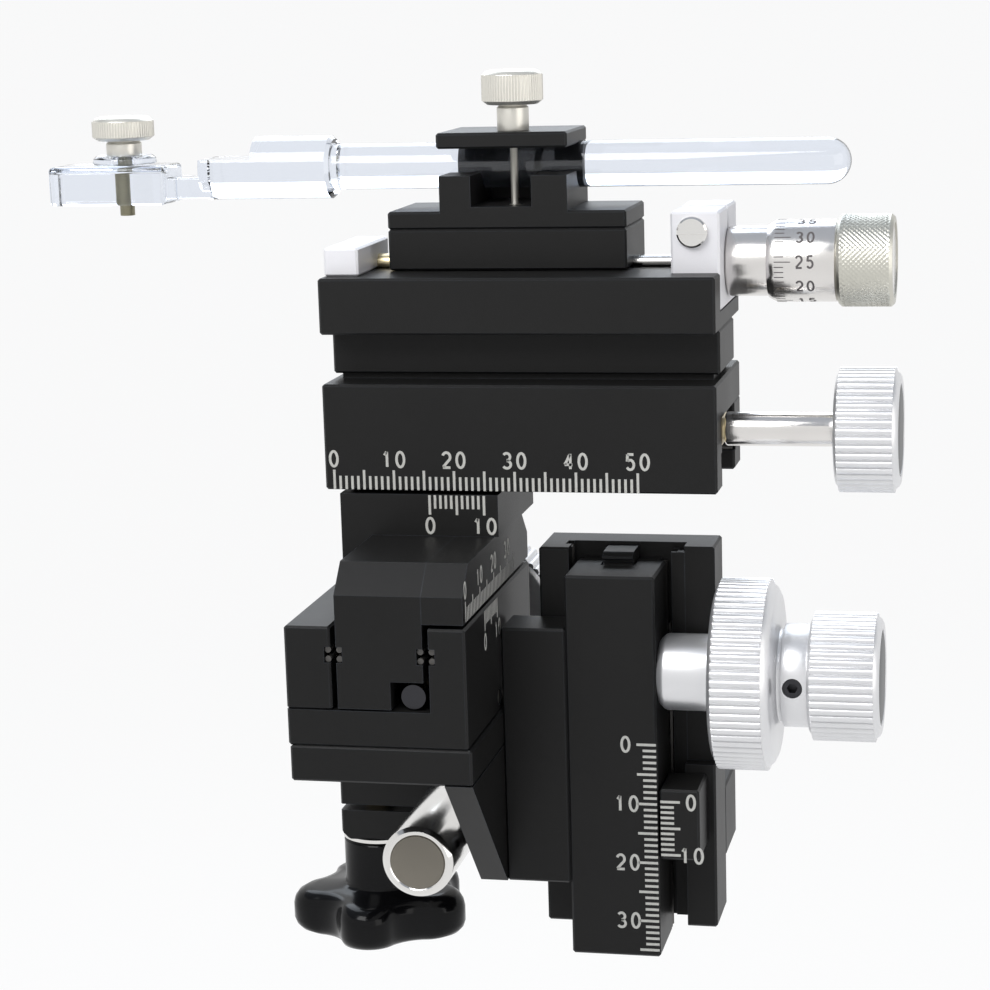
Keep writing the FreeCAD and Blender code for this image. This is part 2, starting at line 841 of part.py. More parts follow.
def y_leadscrew():
    thread = rod("y", y_screw_centre, screw_radius, (1.0, y_rail_length + free_gap))
    shaft = rod("y", y_screw_centre, y_shaft_radius, (y_rail_length + free_gap, y_knob_socket_end))
    return fused([thread, shaft])


def y_knob():
    body = knob("y", y_screw_centre, y_knob_start, knob_length, knob_radius)
    return body.cut(rod("y", y_screw_centre, y_shaft_radius, (y_knob_start - 1, y_knob_socket_end)))


def end_bevels():
    """Wedges that bevel both ends of the Y slide's top."""
    low = y_slide_top - y_end_bevel - 1
    high = y_slide_top + 1
    front = [(-1, low), (-1, high), (y_end_bevel + 1, high)]
    rear = [(y_rail_length - y, z) for y, z in front]
    across = (0.0, y_rail_width)
    return [prism("x", front, across), prism("x", rear, across)]


def y_slide():
    corners = [(y_stem[0], y_stem_bottom), (y_notch_left, y_stem_bottom), (y_notch_left, y_notch_top),
               (y_stem[1], y_notch_top), (y_stem[1], y_slide_top), (y_stem[0], y_slide_top)]
    body = prism("y", corners, y_span)
    return drilled(body, end_bevels() + [groove("y", y_stem[0], 1, y_level, y_span),
                                         groove("y", y_stem[1], -1, y_level, y_span)])


def y_scale_arm():
    body = box((y_stem[1], y_arm_right), y_span, (y_arm_underside, y_slide_top))
    return drilled(body, end_bevels())


def y_carriage_raceways():
    across = (saddle_left, saddle_right)
    return (wires("y", y_stem[0], 1, y_level, y_span) + wires("y", y_stem[1], -1, y_level, y_span)
            + wires("x", x_stem[0], 1, x_level, across) + wires("x", x_stem[1], -1, x_level, across))


def y_nut():
    block = box((y_notch_left, y_channel[1] - nut_gap), (y_nut_start, y_nut_start + nut_length),
                (y_screw_centre[1], y_notch_top))
    return block.cut(rod("y", y_screw_centre, screw_radius + running_gap, y_span))


# X stage

def x_saddle():
    span = (saddle_left, saddle_right)
    plate = box(span, (stage_front, saddle_back), (y_slide_top, saddle_top))
    stem = box(span, x_stem, (saddle_top, x_stem_top))
    notch = box((saddle_left - 1, saddle_right + 1), (x_stem[0] - 1, x_notch_back),
                (x_notch_bottom, x_stem_top + 1))
    lug = box((saddle_left, y_stem[0]), (stage_front, saddle_back - y_end_bevel),
              (saddle_lug_bottom, y_slide_top))
    body = fused([plate, stem, lug])
    return drilled(body, [notch, groove("x", x_stem[0], 1, x_level, span),
                          groove("x", x_stem[1], -1, x_level, span)])


def x_nut():
    block = box((x_nut_start, x_nut_start + nut_length), (x_channel[0] + nut_gap, x_notch_back),
                (x_notch_bottom, x_screw_centre[1]))
    return block.cut(rod("x", x_screw_centre, screw_radius + running_gap, x_span))


def x_ball_cages():
    span = (x_cage_centre - x_cage_length / 2, x_cage_centre + x_cage_length / 2)
    return (ball_cage("x", x_channel[0] + side_gap / 2, x_level, span)
            + ball_cage("x", x_channel[1] - side_gap / 2, x_level, span))


gib_screw_places = [(x_rail_left + gib_screw_first + gib_screw_pitch * i, stage_back - gib_wall / 2)
                    for i in range(gib_screw_count)]
gib_screw_length = rail_floor + gib_screw_grip


def gib_screw_holes():
    return [cap_screw_hole("z", place, x_rail_top, -1, gib_screw_length) for place in gib_screw_places]


def x_rail():
    corners = [(stage_front, x_rail_bottom), (x_channel[0], x_rail_bottom), (x_channel[0], x_roof),
               (stage_back, x_roof), (stage_back, x_rail_top), (stage_front, x_rail_top)]
    body = eased(prism("x", corners, x_span))
    return drilled(body, [groove("x", x_channel[0], -1, x_level, x_span)] + gib_screw_holes())


def x_gib():
    body = eased(box(x_span, (x_channel[1], stage_back), (x_rail_bottom, x_roof)))
    return drilled(body, [groove("x", x_channel[1], 1, x_level, x_span)] + gib_screw_holes())


def x_gib_screws():
    return [cap_screw("z", place, x_rail_top, -1, gib_screw_length) for place in gib_screw_places]


def x_rail_raceways():
    return wires("x", x_channel[0], -1, x_level, x_span) + wires("x", x_channel[1], 1, x_level, x_span)


def x_screw_bearing():
    block = box((x_rail_right - screw_bearing_length, x_rail_right), (x_channel[0], x_notch_back - free_gap),
                (x_notch_bottom + free_gap, x_roof))
    return block.cut(rod("x", x_screw_centre, screw_radius + running_gap, (x_rail_left, x_rail_right + 1)))


x_knob_start = x_rail_right + free_gap + x_shaft_length
x_knob_socket_end = x_knob_start + knob_length / 2


def x_leadscrew():
    thread = rod("x", x_screw_centre, screw_radius, (x_rail_left + 1, x_rail_right + free_gap))
    shaft = rod("x", x_screw_centre, x_shaft_radius, (x_rail_right + free_gap, x_knob_socket_end))
    return fused([thread, shaft])


def x_knob():
    body = knob("x", x_screw_centre, x_knob_start, knob_length, knob_radius)
    return body.cut(rod("x", x_screw_centre, x_shaft_radius, (x_knob_start - 1, x_knob_socket_end)))


def neck_plate():
    left = x_rail_left + neck_inset
    right = x_rail_right - neck_right_inset
    back = x_channel[0] + neck_depth
    upper = eased(box((left, right), (x_channel[0], back), (x_rail_top + neck_slit, neck_top)))
    foot = box((left + neck_slit_depth, right - neck_slit_depth),
               (x_channel[0] + neck_slit_depth, back - neck_slit_depth),
               (x_rail_top, x_rail_top + neck_slit + 1))
    return fused([upper, foot])


def dovetail(span, bottom, top, slack):
    """Dovetail bar along X, wider at the bottom; slack widens both flanks."""
    half_top = dovetail_top_width / 2 + slack
    half_bottom = half_top + dovetail_spread
    return prism("x", [(dovetail_y - half_bottom, bottom), (dovetail_y + half_bottom, bottom),
                       (dovetail_y + half_top, top), (dovetail_y - half_top, top)], span)


def upper_plate():
    body = eased(box(x_span, (stage_front, stage_back), (neck_top, plate_top)))
    slot_span = (dovetail_left - fine_travel_left - free_gap,
                 dovetail_left + dovetail_length + fine_travel_right + free_gap)
    slot = dovetail(slot_span, plate_top - dovetail_depth - platform_gap, plate_top, platform_gap)
    mouth_half = dovetail_top_width / 2 + platform_gap
    mouth = box(slot_span, (dovetail_y - mouth_half, dovetail_y + mouth_half),
                (plate_top - platform_gap, plate_top + 1))
    pocket = box((bracket_left, x_rail_right + 1),
                 (micrometer_y - bracket_half_depth, micrometer_y + bracket_half_depth),
                 (plate_top - bracket_foot, plate_top + 1))
    spindle_groove = rod("x", micrometer_centre, spindle_radius + free_gap,
                         (platform_span[1] - fine_travel_left, bracket_left + 1))
    pin_groove = rod("x", micrometer_centre, guide_pin_radius + free_gap,
                     (x_rail_left - 1, platform_left + fine_travel_right))
    return drilled(body, [slot, mouth, pocket, spindle_groove, pin_groove])


# Fine stage and micrometer

def stop_block():
    body = eased(box((stop_block_left, stop_block_left + stop_block_width),
                     (stop_block_front, stop_block_front + stop_block_depth),
                     (plate_top, plate_top + stop_block_height)))
    bore = rod("x", micrometer_centre, guide_pin_radius + running_gap, (stop_block_left - 1, platform_left))
    return body.cut(bore)


def guide_pin():
    return rod("x", micrometer_centre, guide_pin_radius, (guide_pin_end, platform_left))


def fine_platform():
    slab = eased(box(platform_span, (platform_front, platform_back), (platform_bottom, platform_top)))
    span = (dovetail_left, dovetail_left + dovetail_length)
    tail = dovetail(span, plate_top - dovetail_depth, plate_top, 0.0)
    root_half = dovetail_top_width / 2
    root = box(span, (dovetail_y - root_half, dovetail_y + root_half), (plate_top, platform_bottom + 1))
    return fused([slab, root, tail])


def micrometer_bracket():
    ys = (micrometer_y - bracket_half_depth, micrometer_y + bracket_half_depth)
    body = eased(box((bracket_left, x_rail_right), ys, (plate_top - bracket_foot, plate_top + bracket_top)))
    bore = rod("x", micrometer_centre, sleeve_stem_radius + groove_gap, (bracket_left - 1, x_rail_right + 1))
    slit = box((bracket_left - 1, x_rail_right + 1),
               (micrometer_y - bracket_slit / 2, micrometer_y + bracket_slit / 2),
               (micrometer_centre[1], plate_top + bracket_top + 1))
    screw_hole = rod("y", bracket_screw_centre, cap_radius + running_gap,
                     (ys[0] - 1, micrometer_y + bracket_screw_grip + free_gap))
    return drilled(body, [bore, slit, screw_hole])


bracket_screw_centre = (bracket_left + bracket_screw_inset, plate_top + bracket_screw_height)


def bracket_screw():
    face = micrometer_y - bracket_half_depth
    front = face - bracket_screw_proud
    x, z = bracket_screw_centre
    head = turned("y", bracket_screw_centre, [(front, bracket_screw_radius - bracket_screw_edge),
                                              (front + bracket_screw_edge, bracket_screw_radius),
                                              (face, bracket_screw_radius)])
    shank = rod("y", bracket_screw_centre, cap_radius, (face, micrometer_y + bracket_screw_grip))
    slot = box((x - bracket_screw_radius, x + bracket_screw_radius), (front - 1, front + screw_slot_depth),
               (z - screw_slot_width / 2, z + screw_slot_width / 2))
    return fused([head, shank]).cut(slot)


sleeve_start = x_rail_right
thimble_start = sleeve_start + sleeve_shown
thimble_end = thimble_start + thimble_plain + thimble_grip


def micrometer_sleeve():
    end = thimble_start + sleeve_hidden
    outer = rod("x", micrometer_centre, sleeve_radius, (sleeve_start, end))
    stem = rod("x", micrometer_centre, sleeve_stem_radius, (bracket_left, sleeve_start))
    bore = rod("x", micrometer_centre, spindle_radius + running_gap, (bracket_left - 1, end + 1))
    return fused([outer, stem]).cut(bore)


def micrometer_thimble():
    grip_start = thimble_start + thimble_plain
    body = turned("x", micrometer_centre, [(thimble_start, sleeve_radius + thimble_lip),
                                           (thimble_start + thimble_bevel, thimble_radius),
                                           (grip_start, thimble_radius),
                                           (grip_start, thimble_grip_radius - grip_edge / 2),
                                           (grip_start + grip_edge / 2, thimble_grip_radius),
                                           (thimble_end - grip_edge, thimble_grip_radius),
                                           (thimble_end, thimble_grip_radius - grip_edge)])
    return body.cut(rod("x", micrometer_centre, sleeve_radius + thimble_gap,
                        (thimble_start - 1, thimble_start + thimble_bore_depth)))


def micrometer_spindle():
    return rod("x", micrometer_centre, spindle_radius,
               (platform_span[1] + running_gap, thimble_start + thimble_bore_depth))


# Holder clamp and clear holder

def holder_groove():
    return rod("x", holder_centre, holder_radius + running_gap, (jaw_left - 1, post_span[1] + 1))


def holder_clamp_base():
    plate = eased(box(platform_span, (platform_front, platform_back), (platform_top, clamp_plate_top)))
    block = box(post_span, (platform_front, platform_back), (clamp_plate_top - 1, post_top))
    wall = box(post_span, (platform_back - clamp_wall, platform_back),
               (clamp_plate_top, jaw_bottom - clamp_wall_gap))
    notch = box((clamp_notch_left, clamp_notch_left + clamp_notch_width),
                (platform_front - 1, platform_back - clamp_wall), (notch_floor, post_top + 1))
    screw_hole = rod("z", clamp_screw_centre, clamp_screw_radius + running_gap,
                     (platform_top + clamp_screw_cover, post_top))
    return drilled(fused([plate, block, wall]), [notch, holder_groove(), screw_hole])


def holder_clamp_jaw():
    body = eased(box((jaw_left, post_span[1]), (jaw_front, platform_back), (jaw_bottom, jaw_top)))
    screw_hole = rod("z", clamp_screw_centre, clamp_screw_radius + running_gap, (jaw_bottom - 1, jaw_top + 1))
    return drilled(body, [holder_groove(), screw_hole])


def thumb_head(centre, start, neck_radius, neck_height, head_radius, head_height):
    """Neck and round head of a thumbscrew above a level."""
    head = start + neck_height
    top = head + head_height
    return turned("z", centre, [(start, neck_radius), (head, neck_radius), (head, head_radius - thumb_edge),
                                (head + thumb_edge, head_radius), (top - thumb_edge, head_radius),
                                (top, head_radius - thumb_edge)])


def holder_thumbscrew():
    top = thumb_head(clamp_screw_centre, jaw_top + running_gap, thumb_neck_radius, thumb_neck_height,
                     thumb_head_radius, thumb_head_height)
    shank = rod("z", clamp_screw_centre, clamp_screw_radius,
                (platform_top + clamp_screw_cover + free_gap, jaw_top + running_gap))
    nut_bottom = notch_floor + free_gap
    nut = rod("z", clamp_screw_centre, clamp_nut_radius, (nut_bottom, nut_bottom + clamp_nut_height))
    return fused([top, shank, nut])


def holder_rod():
    straight_end = holder_right - holder_radius
    main = rod("x", holder_centre, holder_radius, (holder_step, straight_end))
    nose = Part.makeSphere(holder_radius, point("x", straight_end, *holder_centre))
    step = rod("x", holder_centre, holder_step_radius, (flat_left, holder_step))
    half_width = tip_block_width / 2
    flat_cut = box((flat_left - 1, step_left), (holder_y - half_width - 1, holder_y + half_width + 1),
                   (holder_z + holder_flat_height, holder_z + holder_step_radius + 1))
    neck = box((tip_block_right - 1, flat_left + 1), (holder_y - holder_radius, holder_y + holder_radius),
               (holder_z + holder_neck_bottom + 1, holder_z + holder_neck_top))
    block = eased(box((tip_block_left, tip_block_right), (holder_y - half_width, holder_y + half_width),
                      (tip_bottom, tip_top)), tip_block_edge)
    groove_cut = rod("x", (holder_y - pipette_offset, tip_top - pipette_depth), pipette_radius,
                     (tip_block_left - 1, tip_block_right + 1))
    screw_hole = rod("z", tip_centre, tip_screw_radius + running_gap, (tip_bottom - 1, tip_top + 1))
    body = fused([main, nose, step.cut(flat_cut), neck, block])
    return drilled(body, [groove_cut, screw_hole])


washer_bottom = tip_top - pipette_depth + pipette_radius + groove_gap
washer_top = washer_bottom + tip_washer_height


def tip_washer():
    """Washer at the height of a pipette in its groove."""
    ring = rod("z", tip_centre, tip_washer_radius, (washer_bottom, washer_top))
    return ring.cut(rod("z", tip_centre, tip_screw_radius, (tip_top, washer_top + 1)))


def tip_thumbscrew():
    top = thumb_head(tip_centre, washer_top, tip_neck_radius, tip_neck_height, tip_head_radius,
                     tip_head_height)
    shank = rod("z", tip_centre, tip_screw_radius, (tip_bottom - tip_screw_below, washer_top))
    return fused([top, shank])


PIECES = [mounting_rod, rod_clamp_bar, z_rail_cap_screws, clamp_washer, star_knob, clamp_stud,
          z_rail, z_gib, z_rail_raceways, z_rack, z_vernier_block, z_ball_cages, z_slide, z_carriage_raceways,
          z_bearing_sleeve, z_pinion_shaft, z_hand_wheel, z_wheel_screw, z_end_knob, z_arm, gusset,
          base_plate, base_plate_screws, y_rail, y_gib, y_rail_set_screw, y_screw_bearing,
          y_ball_cages, y_leadscrew, y_knob, y_slide, y_scale_arm, y_carriage_raceways, y_nut,
          x_saddle, x_nut, x_ball_cages, x_rail, x_gib, x_gib_screws, x_rail_raceways,
          x_screw_bearing, x_leadscrew, x_knob, neck_plate, upper_plate, stop_block, guide_pin, fine_platform,
          micrometer_bracket, bracket_screw, micrometer_sleeve, micrometer_thimble, micrometer_spindle,
          holder_clamp_base, holder_clamp_jaw, holder_thumbscrew, holder_rod, tip_washer, tip_thumbscrew]


def write_pieces():
    os.makedirs("parts", exist_ok=True)
    for piece in PIECES:
        solids = piece()
        shape = Part.makeCompound(solids) if isinstance(solids, list) else solids
        shape.translate(-origin)
        shape.exportStep("parts/" + piece.__name__ + ".step")


write_pieces()
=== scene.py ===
import json
import math

import bmesh
import bpy
from mathutils import Matrix, Vector


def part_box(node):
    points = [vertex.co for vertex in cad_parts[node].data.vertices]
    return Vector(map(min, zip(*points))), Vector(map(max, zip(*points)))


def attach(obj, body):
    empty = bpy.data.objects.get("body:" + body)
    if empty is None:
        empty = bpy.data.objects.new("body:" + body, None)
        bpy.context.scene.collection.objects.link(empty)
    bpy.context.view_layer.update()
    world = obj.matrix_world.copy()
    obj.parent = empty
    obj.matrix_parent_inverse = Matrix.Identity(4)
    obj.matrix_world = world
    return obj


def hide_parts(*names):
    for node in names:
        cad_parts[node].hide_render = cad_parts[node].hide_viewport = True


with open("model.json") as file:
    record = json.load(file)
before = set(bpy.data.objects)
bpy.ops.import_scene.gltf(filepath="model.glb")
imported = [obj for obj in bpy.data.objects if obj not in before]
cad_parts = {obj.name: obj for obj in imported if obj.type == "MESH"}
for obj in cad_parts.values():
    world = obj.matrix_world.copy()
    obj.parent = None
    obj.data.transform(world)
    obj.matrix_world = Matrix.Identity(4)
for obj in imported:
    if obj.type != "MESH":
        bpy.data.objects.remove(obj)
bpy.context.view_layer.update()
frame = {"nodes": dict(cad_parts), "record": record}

MM = 0.001
AXES = {"x": Vector((1, 0, 0)), "y": Vector((0, 1, 0)), "z": Vector((0, 0, 1))}

# Camera at the photograph's angle; the eye is in millimetres from the front lower left corner of the Y rail
LENS = 93.5
SHIFT_X = -0.0336
SHIFT_Y = -0.0036
EYE = (119.5, -371.8, 116.4)
LOOK_RIGHT = (0.9784, 0.2047, -0.0272)
LOOK_DOWN = (0.0136, -0.1955, -0.9806)

# Engraved scales, in millimetres
TICK_WIDTH = 0.42
TICK_SHORT = 2.2
TICK_LONG = 3.2
TICK_PROUD = 0.02
MARK_GAP = 0.01
NUMERAL_HEIGHT = 2.9
NUMERAL_OFFSET = 5.0
VERNIER_PITCH = 0.9

# Where the scales start, in millimetres along their own axes from the point place(0, 0, 0), and the first
# from the X rail's left end
X_ZERO = 1.56
X_VERNIER_ZERO = (18.2, 35.55)
Y_ZERO = 2.0
Y_VERNIER_ZERO = 13.9
Z_ZERO = -4.9
Z_VERNIER_ZERO = -14.4

# Knob ribs, in millimetres, and their radius as a share of half their pitch
RIB_PITCH = 1.42
FINE_RIB_PITCH = 0.5
RIB_PROUD = 0.45
RIB_FULLNESS = 0.93

# Plain part of the thimble, in millimetres, and the least turn of an edge that a lathe rounds, in degrees
THIMBLE_RADIUS = 6.6
LATHE_EDGE_ANGLE = 28

y_rail_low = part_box("y_rail")[0]
CORNER = Vector((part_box("y_gib")[0].x, y_rail_low.y, y_rail_low.z))


def place(x, y, z):
    """Point given in millimetres from the front lower left corner of the Y rail."""
    return CORNER + Vector((x, y, z)) * MM


def middle(node):
    low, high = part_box(node)
    return (low + high) / 2


# Shader node groups

def group(name, inputs, outputs):
    """Empty shader group with named inputs (name, type, value) and outputs (name, type)."""
    tree = bpy.data.node_groups.new(name, "ShaderNodeTree")
    for label, kind, value in inputs:
        socket = tree.interface.new_socket(label, in_out="INPUT", socket_type=kind)
        socket.default_value = value
    for label, kind in outputs:
        tree.interface.new_socket(label, in_out="OUTPUT", socket_type=kind)
    return tree, tree.nodes.new("NodeGroupInput"), tree.nodes.new("NodeGroupOutput")


def link_value(tree, value, socket):
    """Links a socket to another node's output, or sets it to a number, vector or colour."""
    if isinstance(value, bpy.types.NodeSocket):
        tree.links.new(value, socket)
    else:
        socket.default_value = value


def math_node(tree, operation, first, second, clamp=False):
    node = tree.nodes.new("ShaderNodeMath")
    node.operation = operation
    node.use_clamp = clamp
    link_value(tree, first, node.inputs[0])
    link_value(tree, second, node.inputs[1])
    return node.outputs[0]


def noise_node(tree, vector, scale, detail, roughness):
    node = tree.nodes.new("ShaderNodeTexNoise")
    node.inputs["Detail"].default_value = detail
    node.inputs["Roughness"].default_value = roughness
    tree.links.new(vector, node.inputs["Vector"])
    link_value(tree, scale, node.inputs["Scale"])
    return node.outputs["Fac"]


def make_edge_wear():
    """Mask that is bright where two faces meet, broken up by noise; it carries worn edges and a painted
    highlight of light caught on the edges.
    """
    tree, start, end = group("edge wear and painted highlight",
                             [("Width", "NodeSocketFloat", 0.0002), ("Amount", "NodeSocketFloat", 1.0)],
                             [("Mask", "NodeSocketFloat")])
    bevel = tree.nodes.new("ShaderNodeBevel")
    bevel.samples = 6
    tree.links.new(start.outputs["Width"], bevel.inputs["Radius"])
    flat = tree.nodes.new("ShaderNodeNewGeometry")
    dot = tree.nodes.new("ShaderNodeVectorMath")
    dot.operation = "DOT_PRODUCT"
    tree.links.new(bevel.outputs["Normal"], dot.inputs[0])
    tree.links.new(flat.outputs["Normal"], dot.inputs[1])
    turned_away = math_node(tree, "SUBTRACT", 1.0, dot.outputs["Value"], True)
    where = tree.nodes.new("ShaderNodeTexCoord")
    patches = noise_node(tree, where.outputs["Object"], scale=420.0, detail=4.0, roughness=0.55)
    broken = math_node(tree, "MULTIPLY", math_node(tree, "MULTIPLY", turned_away, 5.0, True), patches)
    tree.links.new(math_node(tree, "MULTIPLY", broken, start.outputs["Amount"], True), end.inputs["Mask"])
    return tree


def make_grain():
    """Fine blasted grain: a height for bump and a slow variation for colour and roughness."""
    tree, start, end = group("grain", [("Scale", "NodeSocketFloat", 6000.0)],
                             [("Height", "NodeSocketFloat"), ("Variation", "NodeSocketFloat")])
    where = tree.nodes.new("ShaderNodeTexCoord")
    fine = noise_node(tree, where.outputs["Object"], start.outputs["Scale"], detail=2.0, roughness=0.6)
    slow = noise_node(tree, where.outputs["Object"], scale=60.0, detail=3.0, roughness=0.5)
    tree.links.new(fine, end.inputs["Height"])
    tree.links.new(slow, end.inputs["Variation"])
    return tree


def make_turning():
    """Tool marks that ring a turned surface; Stretch squeezes the noise along the turning axis."""
    tree, start, end = group("turning marks", [("Stretch", "NodeSocketVector", (1.0, 1.0, 1.0))],
                             [("Height", "NodeSocketFloat"), ("Variation", "NodeSocketFloat")])
    where = tree.nodes.new("ShaderNodeTexCoord")
    scaled = tree.nodes.new("ShaderNodeVectorMath")
    scaled.operation = "MULTIPLY"
    tree.links.new(where.outputs["Object"], scaled.inputs[0])
    tree.links.new(start.outputs["Stretch"], scaled.inputs[1])
    marks = noise_node(tree, scaled.outputs["Vector"], scale=60.0, detail=5.0, roughness=0.7)
    slow = noise_node(tree, where.outputs["Object"], scale=90.0, detail=2.0, roughness=0.5)
    tree.links.new(marks, end.inputs["Height"])
    tree.links.new(slow, end.inputs["Variation"])
    return tree


EDGE_WEAR_AND_HIGHLIGHT = make_edge_wear()
GRAIN = make_grain()
TURNING = make_turning()


def use_group(tree, group_tree, **values):
    node = tree.nodes.new("ShaderNodeGroup")
    node.node_tree = group_tree
    for label, value in values.items():
        node.inputs[label].default_value = value
    return node


def shaded(colour, factor=1.0):
    """A colour made darker or lighter, with its alpha."""
    return (*[part * factor for part in colour], 1.0)


def mixed_colour(tree, factor, first, second):
    """Colour between two others, by a mask or value."""
    node = tree.nodes.new("ShaderNodeMix")
    node.data_type = "RGBA"
    tree.links.new(factor, node.inputs["Factor"])
    link_value(tree, first, node.inputs["A"])
    link_value(tree, second, node.inputs["B"])
    return node.outputs["Result"]


def spread(tree, value, low, high):
    """A value from 0 to 1, taken to the range from low to high."""
    node = tree.nodes.new("ShaderNodeMapRange")
    node.inputs["To Min"].default_value = low
    node.inputs["To Max"].default_value = high
    tree.links.new(value, node.inputs["Value"])
    return node.outputs["Result"]


def new_material(name, metallic, specular=0.5, coat=0.0):
    material = bpy.data.materials.new(name)
    material.use_nodes = True
    shader = material.node_tree.nodes["Principled BSDF"]
    shader.inputs["Metallic"].default_value = metallic
    shader.inputs["Specular IOR Level"].default_value = specular
    shader.inputs["Coat Weight"].default_value = coat
    return material, material.node_tree, shader


def add_bump(tree, shader, height, strength, distance):
    bump = tree.nodes.new("ShaderNodeBump")
    bump.inputs["Strength"].default_value = strength
    bump.inputs["Distance"].default_value = distance
    tree.links.new(height, bump.inputs["Height"])
    tree.links.new(bump.outputs["Normal"], shader.inputs["Normal"])


def blasted(name, colour, worn_and_lit, roughness, metallic=0.0, specular=0.5, grain=6000.0, wear_and_highlight=0.8):
    """Blasted or anodised surface with pale edges, partly worn and partly a painted highlight of light caught
    on them.
    """
    material, tree, shader = new_material(name, metallic, specular)
    grain_node = use_group(tree, GRAIN, Scale=grain)
    wear_and_highlight_node = use_group(tree, EDGE_WEAR_AND_HIGHLIGHT, Width=0.00022, Amount=wear_and_highlight)
    clean = mixed_colour(tree, grain_node.outputs["Variation"], shaded(colour, 0.86), shaded(colour, 1.16))
    # The edges take the pale colour: partly real wear, partly a painted highlight.
    tone = mixed_colour(tree, wear_and_highlight_node.outputs["Mask"], clean, shaded(worn_and_lit))
    tree.links.new(tone, shader.inputs["Base Color"])
    rough = spread(tree, grain_node.outputs["Variation"], roughness - 0.05, roughness + 0.06)
    tree.links.new(rough, shader.inputs["Roughness"])
    add_bump(tree, shader, grain_node.outputs["Height"], strength=0.35, distance=0.00004)
    return material


def turned_metal(name, colour, roughness, axis, metallic=1.0, bump=0.25):
    """Turned or ground metal with marks round one axis."""
    material, tree, shader = new_material(name, metallic)
    stretch = {"x": (60.0, 1.0, 1.0), "y": (1.0, 60.0, 1.0), "z": (1.0, 1.0, 60.0)}[axis]
    marks = use_group(tree, TURNING, Stretch=stretch)
    tone = mixed_colour(tree, marks.outputs["Variation"], shaded(colour, 0.93), shaded(colour, 1.05))
    tree.links.new(tone, shader.inputs["Base Color"])
    rough = spread(tree, marks.outputs["Height"], roughness - 0.06, roughness + 0.08)
    tree.links.new(rough, shader.inputs["Roughness"])
    add_bump(tree, shader, marks.outputs["Height"], bump, distance=0.00003)
    return material


def painted(name, colour, roughness):
    """Paint pressed into engraved marks."""
    material, tree, shader = new_material(name, metallic=0.0, specular=0.3)
    grain_node = use_group(tree, GRAIN, Scale=3000.0)
    tone = mixed_colour(tree, grain_node.outputs["Height"], shaded(colour, 0.82), shaded(colour, 1.1))
    tree.links.new(tone, shader.inputs["Base Color"])
    rough = spread(tree, grain_node.outputs["Height"], roughness, roughness + 0.1)
    tree.links.new(rough, shader.inputs["Roughness"])
    add_bump(tree, shader, grain_node.outputs["Height"], strength=0.3, distance=0.00003)
    return material


def moulded(name, colour, roughness):
    """Glossy moulded plastic."""
    material, tree, shader = new_material(name, metallic=0.0, specular=0.12, coat=0.08)
    grain_node = use_group(tree, GRAIN, Scale=900.0)
    tone = mixed_colour(tree, grain_node.outputs["Variation"], shaded(colour, 0.8), shaded(colour, 1.3))
    tree.links.new(tone, shader.inputs["Base Color"])
    rough = spread(tree, grain_node.outputs["Variation"], roughness - 0.04, roughness + 0.08)
    tree.links.new(rough, shader.inputs["Roughness"])
    add_bump(tree, shader, grain_node.outputs["Height"], strength=0.08, distance=0.00005)
    return material


def clear_plastic(name):
    """Clear polished acrylic with faint polishing marks."""
    material, tree, shader = new_material(name, metallic=0.0)
    shader.inputs["Base Color"].default_value = (0.80, 0.84, 0.915, 1.0)
    shader.inputs["Transmission Weight"].default_value = 1.0
    shader.inputs["IOR"].default_value = 1.49
    grain_node = use_group(tree, GRAIN, Scale=500.0)
    tree.links.new(spread(tree, grain_node.outputs["Variation"], 0.01, 0.05), shader.inputs["Roughness"])
    add_bump(tree, shader, grain_node.outputs["Variation"], strength=0.15, distance=0.0001)
    return material


# The pale edge colours below are partly wear and partly painted highlight; the bluish edge colour of the
# black parts is painted light caught on the edges.
BLACK = blasted("black anodised", (0.0112, 0.0110, 0.0108), (0.06, 0.07, 0.085), 0.42, specular=0.18)
SILVER = blasted("silver anodised", (0.80, 0.79, 0.81), (0.88, 0.88, 0.90), 0.45, metallic=0.25,
                 grain=4500.0, wear_and_highlight=0.5)
# The dark steel is also painted shade on the Y lead screw, and the shaded steel is painted shade on the
# raceways and ball cages, which lie in shade inside the rails.
DARK_STEEL_AND_SHADE = turned_metal("dark steel", (0.05, 0.05, 0.055), 0.35, "y")
SHADED_STEEL = turned_metal("steel darkened as painted shade", (0.10, 0.095, 0.09), 0.4, "y", metallic=0.6)
ROD_FACE = turned_metal("sawn rod face", (0.22, 0.20, 0.165), 0.5, "y", metallic=0.5, bump=0.5)
STEEL = turned_metal("polished steel along Y", (0.74, 0.73, 0.71), 0.14, "y")
STEEL_X = turned_metal("polished steel along X", (0.74, 0.72, 0.70), 0.16, "x")
CHROME = turned_metal("satin chrome", (0.74, 0.72, 0.70), 0.2, "x")
KNURLED = turned_metal("knurled grip", (0.60, 0.59, 0.53), 0.36, "x")
KNOB = turned_metal("silver knob", (0.76, 0.76, 0.77), 0.33, "x", metallic=0.75)
NICKEL = turned_metal("cream nickel", (0.68, 0.66, 0.60), 0.32, "z", metallic=0.7)
BRASS = turned_metal("turned brass", (0.70, 0.60, 0.38), 0.28, "x")
OLD_BRASS = turned_metal("dull brass", (0.27, 0.25, 0.17), 0.4, "z", metallic=0.7)
GREY_STEEL = turned_metal("dull steel", (0.33, 0.32, 0.29), 0.4, "z", metallic=0.7)
FILL = painted("scale fill", (0.56, 0.55, 0.51), 0.55)
INK = painted("dark numerals", (0.12, 0.11, 0.11), 0.5)
PLASTIC = moulded("black plastic", (0.0035, 0.0035, 0.004), 0.16)
ACRYLIC = clear_plastic("clear acrylic")
DARK_FACE = blasted("dark knob face", (0.06, 0.062, 0.066), (0.2, 0.2, 0.2), 0.4, metallic=0.5)

